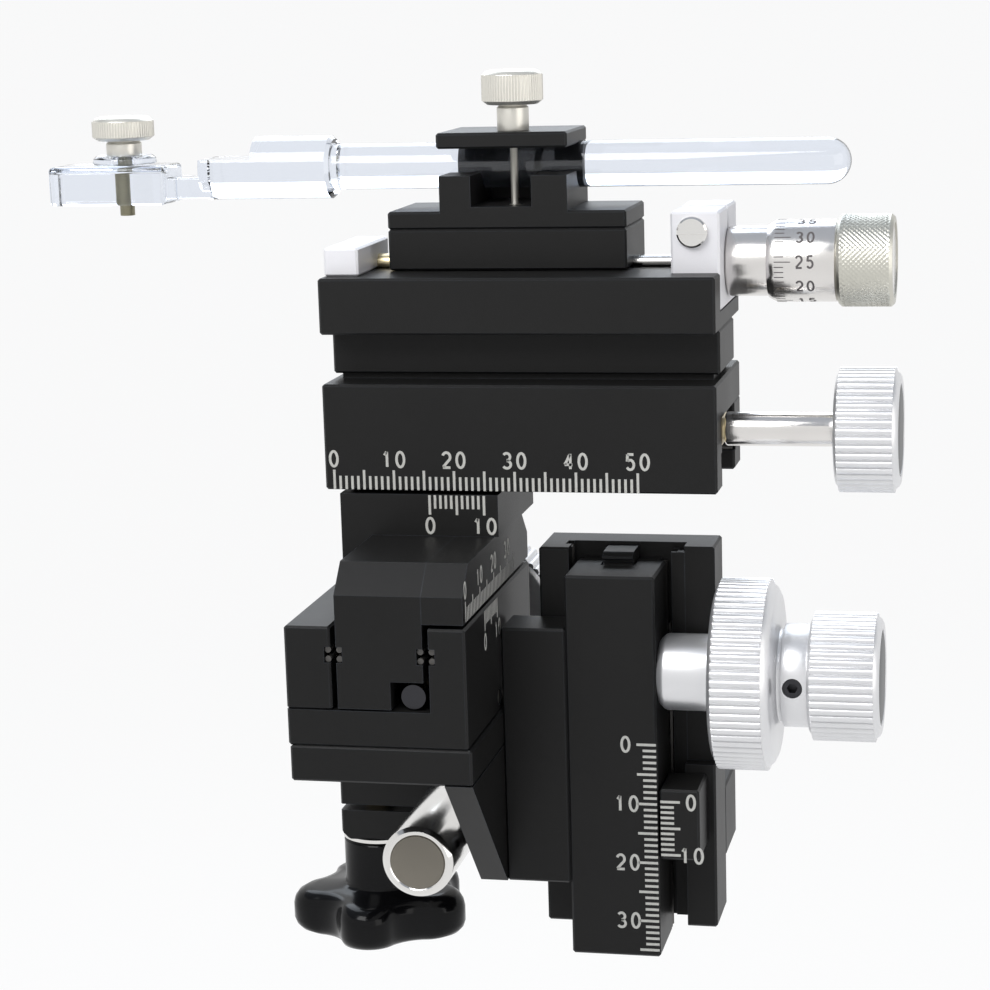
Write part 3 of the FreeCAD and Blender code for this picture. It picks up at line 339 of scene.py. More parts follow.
SLOT_MATERIAL = {
    "black_anodised": BLACK, "polished_steel": STEEL, "dark_steel": DARK_STEEL_AND_SHADE, "silver_knob": KNOB,
    "satin_chrome": CHROME, "silver_anodised": SILVER, "brass": BRASS, "nickel_thumbscrew": NICKEL,
    "black_plastic": PLASTIC, "clear_acrylic": ACRYLIC}
# The darker steels here are painted shade for parts that sit in shade inside the rails; the rack is black to
# match the slide's top.
NODE_MATERIAL = {"y_leadscrew": DARK_STEEL_AND_SHADE, "z_rack": BLACK, "y_rail_set_screw": GREY_STEEL,
                 "z_rail_raceways": SHADED_STEEL, "z_carriage_raceways": SHADED_STEEL,
                 "y_carriage_raceways": SHADED_STEEL, "x_rail_raceways": SHADED_STEEL,
                 "z_ball_cages": SHADED_STEEL, "y_ball_cages": SHADED_STEEL, "x_ball_cages": SHADED_STEEL}
SLOT_OF = {row["node"]: row["material_slot"] for row in frame["record"]["subparts"]}


def dress_nodes():
    """Every CAD node that stays gets the material of its slot, or a duller one from NODE_MATERIAL; the darker
    steels on the lead screw, raceways and ball cages are painted shade where they lie in shade.
    """
    for name, node in frame["nodes"].items():
        node.data.materials.clear()
        node.data.materials.append(NODE_MATERIAL.get(name, SLOT_MATERIAL[SLOT_OF[name]]))


# Mesh helpers

def finish_piece(obj, material, body, nodes=(), sharp=32.0):
    """Gives a finished mesh its material and shading, and fixes it to its body."""
    if material is not None:
        coloured(obj, material)
    obj.data.polygons.foreach_set("use_smooth", [True] * len(obj.data.polygons))
    obj.data.set_sharp_from_angle(angle=math.radians(sharp))
    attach(obj, body)
    if nodes:
        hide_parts(*nodes)


def coloured(obj, material):
    obj.data.materials.clear()
    obj.data.materials.append(material)
    return obj


def object_from(name, mesh):
    obj = bpy.data.objects.new(name, mesh)
    bpy.context.scene.collection.objects.link(obj)
    return obj


def built(name, bm):
    """New object from a bmesh, with its faces turned outwards."""
    bmesh.ops.recalc_face_normals(bm, faces=bm.faces)
    mesh = bpy.data.meshes.new(name)
    bm.to_mesh(mesh)
    bm.free()
    return object_from(name, mesh)


def discard(obj):
    """Deletes an object and its mesh, once they are part of another."""
    mesh = obj.data
    bpy.data.objects.remove(obj)
    bpy.data.meshes.remove(mesh)


def plain(obj):
    """A new plain mesh object from the evaluated one, which is removed."""
    name = obj.name
    graph = bpy.context.evaluated_depsgraph_get()
    mesh = bpy.data.meshes.new_from_object(obj.evaluated_get(graph), depsgraph=graph)
    mesh.name = name
    bpy.data.objects.remove(obj)
    return object_from(name, mesh)


def joined(name, objects):
    """One mesh object from several; materials keep their slots."""
    bm = bmesh.new()
    materials = []
    for obj in objects:
        start = len(bm.faces)
        bm.from_mesh(obj.data)
        bm.faces.ensure_lookup_table()
        for face in bm.faces[start:]:
            face.material_index += len(materials)
        materials += list(obj.data.materials)
        discard(obj)
    mesh = bpy.data.meshes.new(name)
    bm.to_mesh(mesh)
    bm.free()
    for material in materials:
        mesh.materials.append(material)
    return object_from(name, mesh)


def combined(base, tool, operation):
    """Boolean of two objects, which keeps the first one's name."""
    modifier = base.modifiers.new("cut", "BOOLEAN")
    modifier.operation = operation
    modifier.solver = "EXACT"
    modifier.object = tool
    result = plain(base)
    discard(tool)
    return result


def rounded_edges(obj, width, segments, angle=30.0):
    """The same object with a bevel where its faces meet at more than an angle in degrees."""
    modifier = obj.modifiers.new("edge", "BEVEL")
    modifier.width = width * MM
    modifier.segments = segments
    modifier.limit_method = "ANGLE"
    modifier.angle_limit = math.radians(angle)
    return plain(obj)


def angles(count):
    """Equal steps round a circle, in radians."""
    return [2 * math.pi * i / count for i in range(count)]


def skin(bm, rings):
    """Faces between each ring of points and the next; a ring of one point is a pole."""
    for first, second in zip(rings, rings[1:]):
        count = max(len(first), len(second))
        for i in range(count):
            j = (i + 1) % count
            if len(first) == 1:
                bm.faces.new((first[0], second[j], second[i]))
            elif len(second) == 1:
                bm.faces.new((first[i], first[j], second[0]))
            else:
                bm.faces.new((first[i], first[j], second[j], second[i]))


def lathe(name, axis, centre, profile, segments=96, bevel=0.12):
    """Turned mesh from (distance along the axis, radius) points in millimetres, measured from centre."""
    along = AXES[axis]
    side = AXES["y"] if axis == "x" else AXES["x"]
    up = along.cross(side)
    bm = bmesh.new()
    rings = []
    for distance, radius in profile:
        base = centre + along * (distance * MM)
        turns = angles(segments) if radius else [0.0]
        rings.append([bm.verts.new(base + (side * math.cos(turn) + up * math.sin(turn)) * (radius * MM))
                      for turn in turns])
    skin(bm, rings)
    obj = built(name, bm)
    return rounded_edges(obj, bevel, 2, LATHE_EDGE_ANGLE) if bevel else obj


def block(name, low, high, bevel=0.0):
    """Block between two corners, with rounded edges where a bevel is given."""
    bm = bmesh.new()
    bmesh.ops.create_cube(bm, size=1.0)
    for vertex in bm.verts:
        vertex.co = (high + low) / 2 + Vector([part * size for part, size in zip(vertex.co, high - low)])
    obj = built(name, bm)
    return rounded_edges(obj, bevel, 3) if bevel else obj


def near_end(node, axis, start=None):
    """A turned node's centre at its near end, or at start, and its length and radius in millimetres."""
    low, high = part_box(node)
    centre = (low + high) / 2
    if start is None:
        start = getattr(low, axis)
    setattr(centre, axis, start)
    across = "x" if axis == "z" else "z"
    radius = (getattr(high, across) - getattr(low, across)) / 2 / MM
    return centre, (getattr(high, axis) - start) / MM, radius


# Geometry node trees

def geometry_tree(name, inputs):
    """Empty geometry tree with named inputs (name, value) for its sizes and one for its material."""
    tree = bpy.data.node_groups.new(name, "GeometryNodeTree")
    for label, value in inputs:
        kind = "NodeSocketInt" if isinstance(value, int) else "NodeSocketFloat"
        tree.interface.new_socket(label, in_out="INPUT", socket_type=kind).default_value = value
    tree.interface.new_socket("Material", in_out="INPUT", socket_type="NodeSocketMaterial")
    tree.interface.new_socket("Geometry", in_out="OUTPUT", socket_type="NodeSocketGeometry")
    return tree, tree.nodes.new("NodeGroupInput"), tree.nodes.new("NodeGroupOutput")


def instanced(tree, points, shape):
    """Node that puts a copy of a shape on each point."""
    instances = tree.nodes.new("GeometryNodeInstanceOnPoints")
    tree.links.new(points, instances.inputs["Points"])
    tree.links.new(shape, instances.inputs["Instance"])
    return instances


def finish_tree(tree, start, end, geometry):
    """Realize Instances and Set Material, as the last two nodes."""
    real = tree.nodes.new("GeometryNodeRealizeInstances")
    paint = tree.nodes.new("GeometryNodeSetMaterial")
    tree.links.new(geometry, real.inputs["Geometry"])
    tree.links.new(real.outputs["Geometry"], paint.inputs["Geometry"])
    tree.links.new(start.outputs["Material"], paint.inputs["Material"])
    tree.links.new(paint.outputs["Geometry"], end.inputs["Geometry"])


def make_rib_ring():
    """Ring of round ribs about local Z, as on a straight knurl."""
    tree, start, end = geometry_tree("rib ring", [
        ("Count", 60), ("Radius", 0.01), ("Length", 0.008), ("Rib Radius", 0.0006)])
    ring = tree.nodes.new("GeometryNodeMeshCircle")
    tree.links.new(start.outputs["Count"], ring.inputs["Vertices"])
    tree.links.new(start.outputs["Radius"], ring.inputs["Radius"])
    rib = tree.nodes.new("GeometryNodeMeshCylinder")
    rib.inputs["Vertices"].default_value = 12
    tree.links.new(start.outputs["Rib Radius"], rib.inputs["Radius"])
    tree.links.new(start.outputs["Length"], rib.inputs["Depth"])
    instances = instanced(tree, ring.outputs["Mesh"], rib.outputs["Mesh"])
    finish_tree(tree, start, end, instances.outputs["Instances"])
    return tree


def make_tick_row():
    """Row of ticks along local X, from a baseline towards local Y, longer at every fifth one."""
    tree, start, end = geometry_tree("tick row", [
        ("Count", 51), ("Pitch", 0.001), ("Width", 0.0004), ("Short", 0.002), ("Long", 0.003),
        ("Proud", 0.00004)])
    offset = tree.nodes.new("ShaderNodeCombineXYZ")
    tree.links.new(start.outputs["Pitch"], offset.inputs["X"])
    line = tree.nodes.new("GeometryNodeMeshLine")
    tree.links.new(start.outputs["Count"], line.inputs["Count"])
    tree.links.new(offset.outputs["Vector"], line.inputs["Offset"])
    index = tree.nodes.new("GeometryNodeInputIndex")
    fifth = math_node(tree, "COMPARE", math_node(tree, "MODULO", index.outputs["Index"], 5.0), 0.0)
    fifth.node.inputs[2].default_value = 0.1
    longer_by = math_node(tree, "SUBTRACT", start.outputs["Long"], start.outputs["Short"])
    extra = math_node(tree, "MULTIPLY", longer_by, fifth)
    length = math_node(tree, "ADD", start.outputs["Short"], extra)
    size = tree.nodes.new("ShaderNodeCombineXYZ")
    tree.links.new(start.outputs["Width"], size.inputs["X"])
    tree.links.new(length, size.inputs["Y"])
    tree.links.new(start.outputs["Proud"], size.inputs["Z"])
    shift = tree.nodes.new("ShaderNodeCombineXYZ")
    tree.links.new(math_node(tree, "MULTIPLY", length, 0.5), shift.inputs["Y"])
    moved = tree.nodes.new("GeometryNodeSetPosition")
    tree.links.new(line.outputs["Mesh"], moved.inputs["Geometry"])
    tree.links.new(shift.outputs["Vector"], moved.inputs["Offset"])
    cube = tree.nodes.new("GeometryNodeMeshCube")
    instances = instanced(tree, moved.outputs["Geometry"], cube.outputs["Mesh"])
    tree.links.new(size.outputs["Vector"], instances.inputs["Scale"])
    finish_tree(tree, start, end, instances.outputs["Instances"])
    return tree


RIB_RING = make_rib_ring()
TICK_ROW = make_tick_row()


def grown(tree, name, **values):
    """Plain mesh object grown by a geometry tree."""
    host = object_from(name, bpy.data.meshes.new(name))
    modifier = host.modifiers.new("grow", "NODES")
    modifier.node_group = tree
    for item in tree.interface.items_tree:
        label = item.name.replace(" ", "_")
        if item.item_type == "SOCKET" and item.in_out == "INPUT" and label in values:
            modifier[item.identifier] = values[label]
    host.update_tag()
    bpy.context.view_layer.update()
    return plain(host)


def rib_ring(name, axis, centre, radius, span, material, pitch=RIB_PITCH):
    """Straight ribs round an axis between two distances from centre, in millimetres."""
    count = round(2 * math.pi * radius / pitch)
    rib_radius = math.pi * radius / count * RIB_FULLNESS
    start, end = span
    ring = grown(RIB_RING, name, Count=count, Radius=(radius - rib_radius) * MM, Length=(end - start) * MM,
                 Rib_Radius=rib_radius * MM, Material=material)
    ring.data.transform(AXES["z"].rotation_difference(AXES[axis]).to_matrix().to_4x4())
    ring.data.transform(Matrix.Translation(centre + AXES[axis] * ((start + end) / 2 * MM)))
    return ring


# Numerals and scale marks

def arc(x, y, across, tall, start, end, steps=10):
    """Points on part of an ellipse, between two angles in degrees."""
    turns = [math.radians(start + (end - start) * i / steps) for i in range(steps + 1)]
    return [(x + across * math.cos(turn), y + tall * math.sin(turn)) for turn in turns]


# Strokes of each digit, in a cell one wide and one high about its middle
STROKES = {
    "0": [arc(0, 0, 0.5, 0.5, 90, 450, 20)],
    "1": [[(-0.25, 0.27), (0.05, 0.5)], [(0.08, 0.5), (0.08, -0.5)]],
    "2": [arc(0, 0.2, 0.5, 0.3, 160, -30) + [(-0.46, -0.46)], [(-0.5, -0.5), (0.5, -0.5)]],
    "3": [arc(-0.05, 0.26, 0.45, 0.24, 150, -90), arc(-0.05, -0.25, 0.52, 0.25, 90, -150)],
    "4": [[(0.24, -0.5), (0.24, 0.5)], [(0.2, 0.46), (-0.46, -0.2)], [(-0.5, -0.22), (0.5, -0.22)]],
    "5": [[(0.42, 0.5), (-0.36, 0.5)], [(-0.34, 0.5), (-0.4, 0.04)],
          arc(-0.02, -0.18, 0.48, 0.32, 130, -150)]}


def divided(points, reach):
    """The same line of points with none further apart than reach."""
    result = [points[0]]
    for (x, y), (next_x, next_y) in zip(points, points[1:]):
        parts = max(1, math.ceil(math.dist((x, y), (next_x, next_y)) / reach))
        result += [(x + (next_x - x) * i / parts, y + (next_y - y) * i / parts) for i in range(1, parts + 1)]
    return result


def add_stroke(bm, points, half, top):
    """Flat stroke of even width along a line of points, which may close on itself."""
    closed = math.dist(points[0], points[-1]) < half / 10
    if closed:
        points = points[:-1]
    last = len(points) - 1
    rings = []
    for i, (x, y) in enumerate(points):
        before = points[i - 1] if i or closed else points[0]
        after = points[(i + 1) % (last + 1)] if i < last or closed else points[last]
        along = Vector((after[0] - before[0], after[1] - before[1], 0)).normalized()
        side = Vector((-along.y, along.x, 0)) * half
        rings.append([bm.verts.new(Vector((x, y, z)) + side * sign)
                      for sign, z in ((1, 0), (1, top), (-1, top), (-1, 0))])
    if closed:
        rings.append(rings[0])
    else:
        bm.faces.new(rings[0])
        bm.faces.new(rings[last])
    skin(bm, rings)


def numeral(text, matrix, height, material):
    """Engraved number of even strokes, centred on a matrix's origin; height is in millimetres."""
    stroke = 0.15 * height
    width = 0.43 * height
    step = 0.8 * height
    bm = bmesh.new()
    for index, digit in enumerate(text):
        left = (index - (len(text) - 1) / 2) * step
        for points in STROKES[digit]:
            line = [((left + x * width) * MM, y * (height - stroke) * MM) for x, y in points]
            add_stroke(bm, divided(line, 0.4 * MM), stroke / 2 * MM, TICK_PROUD * MM)
    number = built("numeral", bm)
    number.data.transform(matrix)
    return coloured(number, material)


def scale_marks(name, body, matrix, count, pitch=1.0, sense=1, numeral_turn=0.0):
    """Ticks along a face's local X, on the side that sense gives, with a numeral at every tenth."""
    ticks = grown(TICK_ROW, name, Count=count, Pitch=pitch * MM, Width=TICK_WIDTH * MM, Short=TICK_SHORT * MM,
                  Long=TICK_LONG * MM, Proud=2 * TICK_PROUD * MM, Material=FILL)
    ticks.data.transform(matrix @ Matrix.Diagonal((1, sense, 1, 1)))
    if sense < 0:
        ticks.data.flip_normals()
    parts = [ticks]
    for tick in range(0, count, 10):
        spot = Matrix.Translation((tick * pitch * MM, sense * NUMERAL_OFFSET * MM, 0))
        turned = matrix @ spot @ Matrix.Rotation(numeral_turn, 4, "Z")
        parts.append(numeral(str(tick), turned, NUMERAL_HEIGHT, FILL))
    finish_piece(joined(name, parts), None, body)


def face_frame(origin, right, up):
    """Matrix that lays local X and Y on a face, with local Z out of it."""
    matrix = Matrix((right, up, right.cross(up))).transposed().to_4x4()
    matrix.translation = origin
    return matrix


def make_scales():
    """A millimetre scale and a vernier of ten divisions for each stage."""
    right, back, up = AXES["x"], AXES["y"], AXES["z"]
    sideways = math.pi / 2
    inset = 0.15 * MM

    def on_front(x, y, z, local_x, local_y):
        return face_frame(Vector((x, y - MARK_GAP * MM, z)), local_x, local_y)

    def on_right(x, y, z):
        return face_frame(Vector((x + MARK_GAP * MM, y, z)), back, up)

    low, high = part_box("x_rail")
    face = on_front(low.x + X_ZERO * MM, low.y, low.z + 0.12 * MM, right, up)
    scale_marks("x_scale", "x_carriage", face, 51)
    zero, top = X_VERNIER_ZERO
    face = on_front(place(zero, 0, 0).x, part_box("x_saddle")[0].y, place(0, 0, top).z, right, up)
    scale_marks("x_vernier", "y_carriage", face, 11, VERNIER_PITCH, sense=-1)
    low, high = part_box("z_slide")
    face = on_front(high.x - inset, low.y, place(0, 0, Z_ZERO).z, -up, right)
    scale_marks("z_scale", "z_carriage", face, 36, sense=-1, numeral_turn=sideways)
    low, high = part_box("z_vernier_block")
    face = on_front(low.x + inset, low.y, place(0, 0, Z_VERNIER_ZERO).z, -up, right)
    scale_marks("z_vernier", "clamp", face, 11, VERNIER_PITCH, numeral_turn=sideways)
    low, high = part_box("y_scale_arm")
    face = on_right(high.x, place(0, Y_ZERO, 0).y, low.z + 0.1 * MM)
    scale_marks("y_scale", "y_carriage", face, 36)
    low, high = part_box("y_rail")
    face = on_right(high.x, place(0, Y_VERNIER_ZERO, 0).y, high.z - 0.4 * MM)
    scale_marks("y_vernier", "z_carriage", face, 11, VERNIER_PITCH, sense=-1)


# Turned pieces

def make_mounting_rod():
    """Rod with chamfered ends, a groove behind the clamp bar and a sawn front face in a shallow recess."""
    centre, length, _ = near_end("mounting_rod", "y")
    radius = 6.0
    chamfer = 0.7
    back_chamfer = 0.8
    recess = 0.3
    groove_radius = 5.6
    groove_start = (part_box("rod_clamp_bar")[1].y - centre.y) / MM + 0.3
    groove_end = groove_start + 1.0
    rod = lathe("rod_barrel", "y", centre, [
        (recess, 0), (recess, 4.5), (0, 4.8), (0, radius - chamfer), (chamfer, radius),
        (groove_start, radius), (groove_start, groove_radius), (groove_end, groove_radius),
        (groove_end, radius), (length - back_chamfer, radius), (length, radius - back_chamfer), (length, 0)],
        segments=128, bevel=0.08)
    sunk = recess + 0.01
    face = lathe("rod_front_face", "y", centre, [
        (0.18, 0), (0.18, 3.4), (0.12, 4.45), (sunk, 4.45), (sunk, 0)], bevel=0)
    rod = joined("mounting_rod_turned", [coloured(rod, STEEL), coloured(face, ROD_FACE)])
    finish_piece(rod, None, "rod", ["mounting_rod"])


def ribbed_knob(name, node, body, axis):
    """Knob with straight ribs between plain rims, and a dark recessed end disc."""
    centre, length, radius = near_end(node, axis)
    rim = radius - RIB_PROUD
    disc = 0.72 * radius
    bore = disc + 0.2
    floor = length - 0.6
    barrel = lathe(name + "_body", axis, centre, [
        (0, 0), (0, rim - 0.8), (0.7, rim), (length - 0.9, rim), (length - 0.2, rim - 0.6),
        (length, rim - 1.0), (length, bore), (floor, bore), (floor, 0)])
    cap = lathe(name + "_cap", axis, centre, [
        (floor, disc), (length - 0.15, disc), (length - 0.05, disc - 0.4), (length - 0.05, 0)])
    ribs = rib_ring(name + "_ribs", axis, centre, radius, (0.55, length - 0.85), KNOB)
    knob = joined(name, [coloured(barrel, KNOB), coloured(cap, DARK_FACE), ribs])
    finish_piece(knob, None, body, [node])


def make_hand_wheel():
    """Ribbed wheel with a waisted hub, bored for its set screw."""
    centre, length, radius = near_end("z_hand_wheel", "x")
    rim = radius - RIB_PROUD
    hub_length = 5.3
    wheel = length - hub_length
    waist = 7.5
    hub = 8.35
    body = lathe("wheel_body", "x", centre, [
        (0, 0), (0, rim - 1.0), (0.3, rim - 0.5), (0.9, rim), (wheel - 1.5, rim), (wheel - 0.5, rim - 0.8),
        (wheel, rim - 1.8), (wheel, 8.7), (wheel + 0.35, waist), (wheel + 1.0, waist), (wheel + 1.1, hub),
        (length, hub), (length, 0)], segments=128)
    screw = middle("z_wheel_screw")
    hole_radius = 1.6
    bore = lathe("screw_bore", "y", screw, [
        (-6, 0), (-6, hole_radius), (2, hole_radius), (2, 0)], segments=48, bevel=0)
    body = coloured(combined(body, bore, "DIFFERENCE"), KNOB)
    ribs = rib_ring("wheel_ribs", "x", centre, radius, (0.7, wheel - 1.35), KNOB)
    wheel = joined("hand_wheel_ribbed", [body, ribs])
    finish_piece(wheel, None, "z_drive", ["z_hand_wheel"])


def make_bearing_sleeve():
    """Sleeve between the Z slide and the hand wheel, with a rounded foot."""
    centre, length, _ = near_end("z_bearing_sleeve", "x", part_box("z_slide")[1].x)
    radius = 6.25
    sleeve = lathe("bearing_sleeve_turned", "x", centre, [
        (0, 0), (0, 5.2), (0.25, 5.5), (0.9, 6.1), (1.3, radius), (length - 0.3, radius), (length, 5.9),
        (length, 0)], segments=128)
    finish_piece(sleeve, KNOB, "z_carriage", ["z_bearing_sleeve"])


def make_x_shaft():
    """Lead screw inside the X rail and a thicker plain shaft outside it."""
    centre, length, _ = near_end("x_leadscrew", "x")
    screw_radius = 1.95
    shaft_radius = 2.75
    shoulder = (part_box("x_rail")[1].x - centre.x) / MM + 0.3
    screw = lathe("x_leadscrew_turned", "x", centre, [
        (0, 0), (0, 1.6), (0.35, screw_radius), (shoulder, screw_radius), (shoulder, 2.5),
        (shoulder + 0.3, shaft_radius), (length, shaft_radius), (length, 0)])
    finish_piece(screw, STEEL_X, "x_drive", ["x_leadscrew"])


def make_micrometer():
    """Plain sleeve on the bracket, and a graduated thimble with a knurled grip that runs over it."""
    centre, length, _ = near_end("micrometer_sleeve", "x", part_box("micrometer_bracket")[1].x)
    radius = 5.65
    sleeve = lathe("sleeve_turned", "x", centre, [
        (0, 0), (0, 5.2), (0.4, radius), (length, radius), (length, 0)], segments=128)
    finish_piece(sleeve, CHROME, "x_carriage", ["micrometer_sleeve"])
    centre, end, _ = near_end("micrometer_thimble", "x")
    bore = 5.75
    bore_depth = 16.2
    core = 6.15
    grip_start = 11.2
    barrel = lathe("thimble_barrel", "x", centre, [
        (bore_depth, 0), (bore_depth, bore), (0.3, bore), (0, 5.85), (0, 5.95), (1.3, THIMBLE_RADIUS),
        (grip_start - 0.35, THIMBLE_RADIUS), (grip_start, 6.3), (grip_start, core), (end - 0.2, core),
        (end - 0.2, 0)], segments=128, bevel=0.06)
    grip = knurled_grip("thimble_grip", centre, grip_start, end, radius=7.4)
    parts = [coloured(barrel, CHROME), coloured(grip, KNURLED)] + thimble_marks(centre)
    finish_piece(joined("micrometer_thimble_engraved", parts), None, "micrometer",
                 ["micrometer_thimble"], sharp=40.0)


def knurled_grip(name, centre, start, end, radius):
    """Open ring with a diamond knurl between two plain rims, turned about X."""
    inner = 6.0
    diamonds = 58
    points_per_diamond = 5
    lead = 0.8
    depth = 0.14
    rim = 0.55
    row_step = 0.16
    steps = int((end - start) / row_step)
    rows = [(start + (end - start) * i / steps, None) for i in range(steps + 1)]
    bm = bmesh.new()
    rings = []
    for distance, fixed in [(start, inner)] + rows + [(end, inner)]:
        near_edge = min(distance - start, end - distance)
        fade = max(0.0, min(1.0, (near_edge - rim) / 0.25))
        chamfer = max(0.0, 0.5 - near_edge) * 0.9
        ring = []
        for angle in angles(diamonds * points_per_diamond):
            u = angle / (2 * math.pi / diamonds)
            v = distance / lead
            grooves = [max(0.0, 1 - 2.2 * (1 - abs((turn % 1.0) - 0.5) * 2)) for turn in (u + v, u - v)]
            local = fixed or radius - chamfer - depth * fade * min(1.0, sum(grooves))
            point = Vector((distance, local * math.cos(angle), local * math.sin(angle)))
            ring.append(bm.verts.new(centre + point * MM))
        rings.append(ring)
    skin(bm, rings + rings[:1])
    return built(name, bm)


def wrapped(obj, centre):
    """Bends a flat mark round the thimble: local X stays along the axis, local Y runs round it."""
    radius = THIMBLE_RADIUS * MM
    for vertex in obj.data.vertices:
        angle = vertex.co.y / radius
        reach = radius + vertex.co.z
        vertex.co = centre + Vector((vertex.co.x, -reach * math.cos(angle), reach * math.sin(angle)))
    return obj


def thimble_marks(centre):
    """Graduations on the bevel and numerals round the thimble, for fifty divisions a turn."""
    turn = 2 * math.pi * THIMBLE_RADIUS
    divisions = 50
    phase = 0.011 * turn
    start = 1.35
    numerals_at = 6.2
    half_width = 0.08
    half_height = 0.015
    long_tick = 2.6
    short_tick = 1.5
    parts = []
    for i in range(divisions):
        y = i * turn / divisions + phase
        length = short_tick if i % 5 else long_tick
        tick = block("tick", Vector((start, y - half_width, -half_height)) * MM,
                     Vector((start + length, y + half_width, half_height)) * MM)
        parts.append(coloured(wrapped(tick, centre), INK))
        if i % 5 == 0:
            spot = Matrix.Translation(Vector((numerals_at, y, 0)) * MM)
            number = numeral(f"{(i + divisions // 2) % divisions:02d}", spot, height=2.2, material=INK)
            parts.append(wrapped(number, centre))
    return parts


def thumbscrew(name, node, body, neck_radius, neck, head, shank_steps, shank_material):
    """Thumbscrew with a fine straight knurl; the shank has steps of (start, radius) from its foot up."""
    centre, height, radius = near_end(node, "z")
    start = height - head
    shank_top = start - neck
    groove = neck_radius - 0.35
    rim = radius - 0.1
    dish = height - 0.2
    top = lathe(name + "_head", "z", centre, [
        (shank_top - 0.2, 0), (shank_top - 0.2, neck_radius - 0.3), (shank_top, neck_radius),
        (start - 0.5, neck_radius), (start - 0.2, groove), (start, groove), (start, radius - 0.9),
        (start + 0.6, rim), (height - 0.7, rim), (height - 0.15, radius - 0.7), (height, radius - 1.4),
        (dish, radius * 0.45), (dish, 0)], bevel=0.1)
    ribs = rib_ring(name + "_ribs", "z", centre, radius, (start + 0.65, height - 0.75), NICKEL,
                    FINE_RIB_PITCH)
    outline = [(0, 0)]
    for (begin, step_radius), (finish, _) in zip(shank_steps, shank_steps[1:] + [(shank_top, 0)]):
        outline += [(begin, step_radius), (finish, step_radius)]
    shank = lathe(name + "_shank", "z", centre, outline + [(shank_top, 0)], segments=48, bevel=0.06)
    begin, step_radius = shank_steps[-1]
    ridge = thread(name + "_thread", centre, begin + 0.4, shank_top - 0.4, step_radius + 0.02, pitch=0.5)
    screw = joined(name, [coloured(top, NICKEL), ribs, coloured(shank, shank_material),
                          coloured(ridge, shank_material)])
    finish_piece(screw, None, body, [node])


def thread(name, centre, start, end, radius, pitch):
    """Helical ridge about Z, in millimetres from centre."""
    per_turn = 20
    depth = 0.14
    half_width = 0.2
    bm = bmesh.new()
    outlines = []
    for i in range(int((end - start) / pitch * per_turn) + 1):
        angle = 2 * math.pi * i / per_turn
        z = start + i * pitch / per_turn
        section = ((radius - depth, z - half_width), (radius, z), (radius - depth, z + half_width))
        points = [(reach * math.cos(angle), reach * math.sin(angle), level) for reach, level in section]
        outlines.append([bm.verts.new(centre + Vector(point) * MM) for point in points])
    skin(bm, outlines)
    bm.faces.new(outlines[0])
    bm.faces.new(outlines[-1])
    return built(name, bm)


def make_thumbscrews():
    """The holder's thumbscrew, whose shank widens where it enters the jaw, and the one at the tip."""
    jaw_at = (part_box("holder_clamp_jaw")[0].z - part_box("holder_thumbscrew")[0].z) / MM
    thumbscrew("holder_thumbscrew_knurled", "holder_thumbscrew", "clamp_screw", neck_radius=2.6, neck=4.2,
               head=5.5, shank_steps=[(0, 1.0), (2.8, 0.62), (jaw_at, 1.25)], shank_material=GREY_STEEL)
    thumbscrew("tip_thumbscrew_knurled", "tip_thumbscrew", "tip_screw", neck_radius=3.0, neck=2.5,
               head=4.0, shank_steps=[(0, 1.25)], shank_material=OLD_BRASS)


def make_washer():
    """Clear domed washer under the tip thumbscrew."""
    centre, height, _ = near_end("tip_washer", "z")
    bore = 1.45
    washer = lathe("tip_washer_turned", "z", centre, [
        (0, bore), (0, 5.2), (0.25, 5.45), (height - 0.5, 5.3), (height, 4.7), (height, bore), (0, bore)],
        bevel=0.08)
    finish_piece(washer, ACRYLIC, "tip_screw", ["tip_washer"])


# Moulded and clear pieces

def star_radius(angle, reach, lobe, hollow, lobes):
    """Radius of the star's outline in one direction, from its round lobes and hollows."""
    half = math.pi / lobes
    lobe_at = reach - lobe
    across = lobe_at * math.cos(half)
    hollow_at = across + math.sqrt(across ** 2 - lobe_at ** 2 + (lobe + hollow) ** 2)
    turn = math.pi - math.atan2(hollow_at * math.sin(half), hollow_at * math.cos(half) - lobe_at)
    joint = math.atan2(lobe * math.sin(turn), lobe_at - lobe * math.cos(turn))
    local = (angle + half) % (2 * half) - half
    spare = lobe ** 2 - (lobe_at * math.sin(local)) ** 2
    if abs(local) <= joint and spare > 0:
        return lobe_at * math.cos(local) + math.sqrt(spare)
    away = half - abs(local)
    return hollow_at * math.cos(away) - math.sqrt(max(0.0, hollow ** 2 - (hollow_at * math.sin(away)) ** 2))


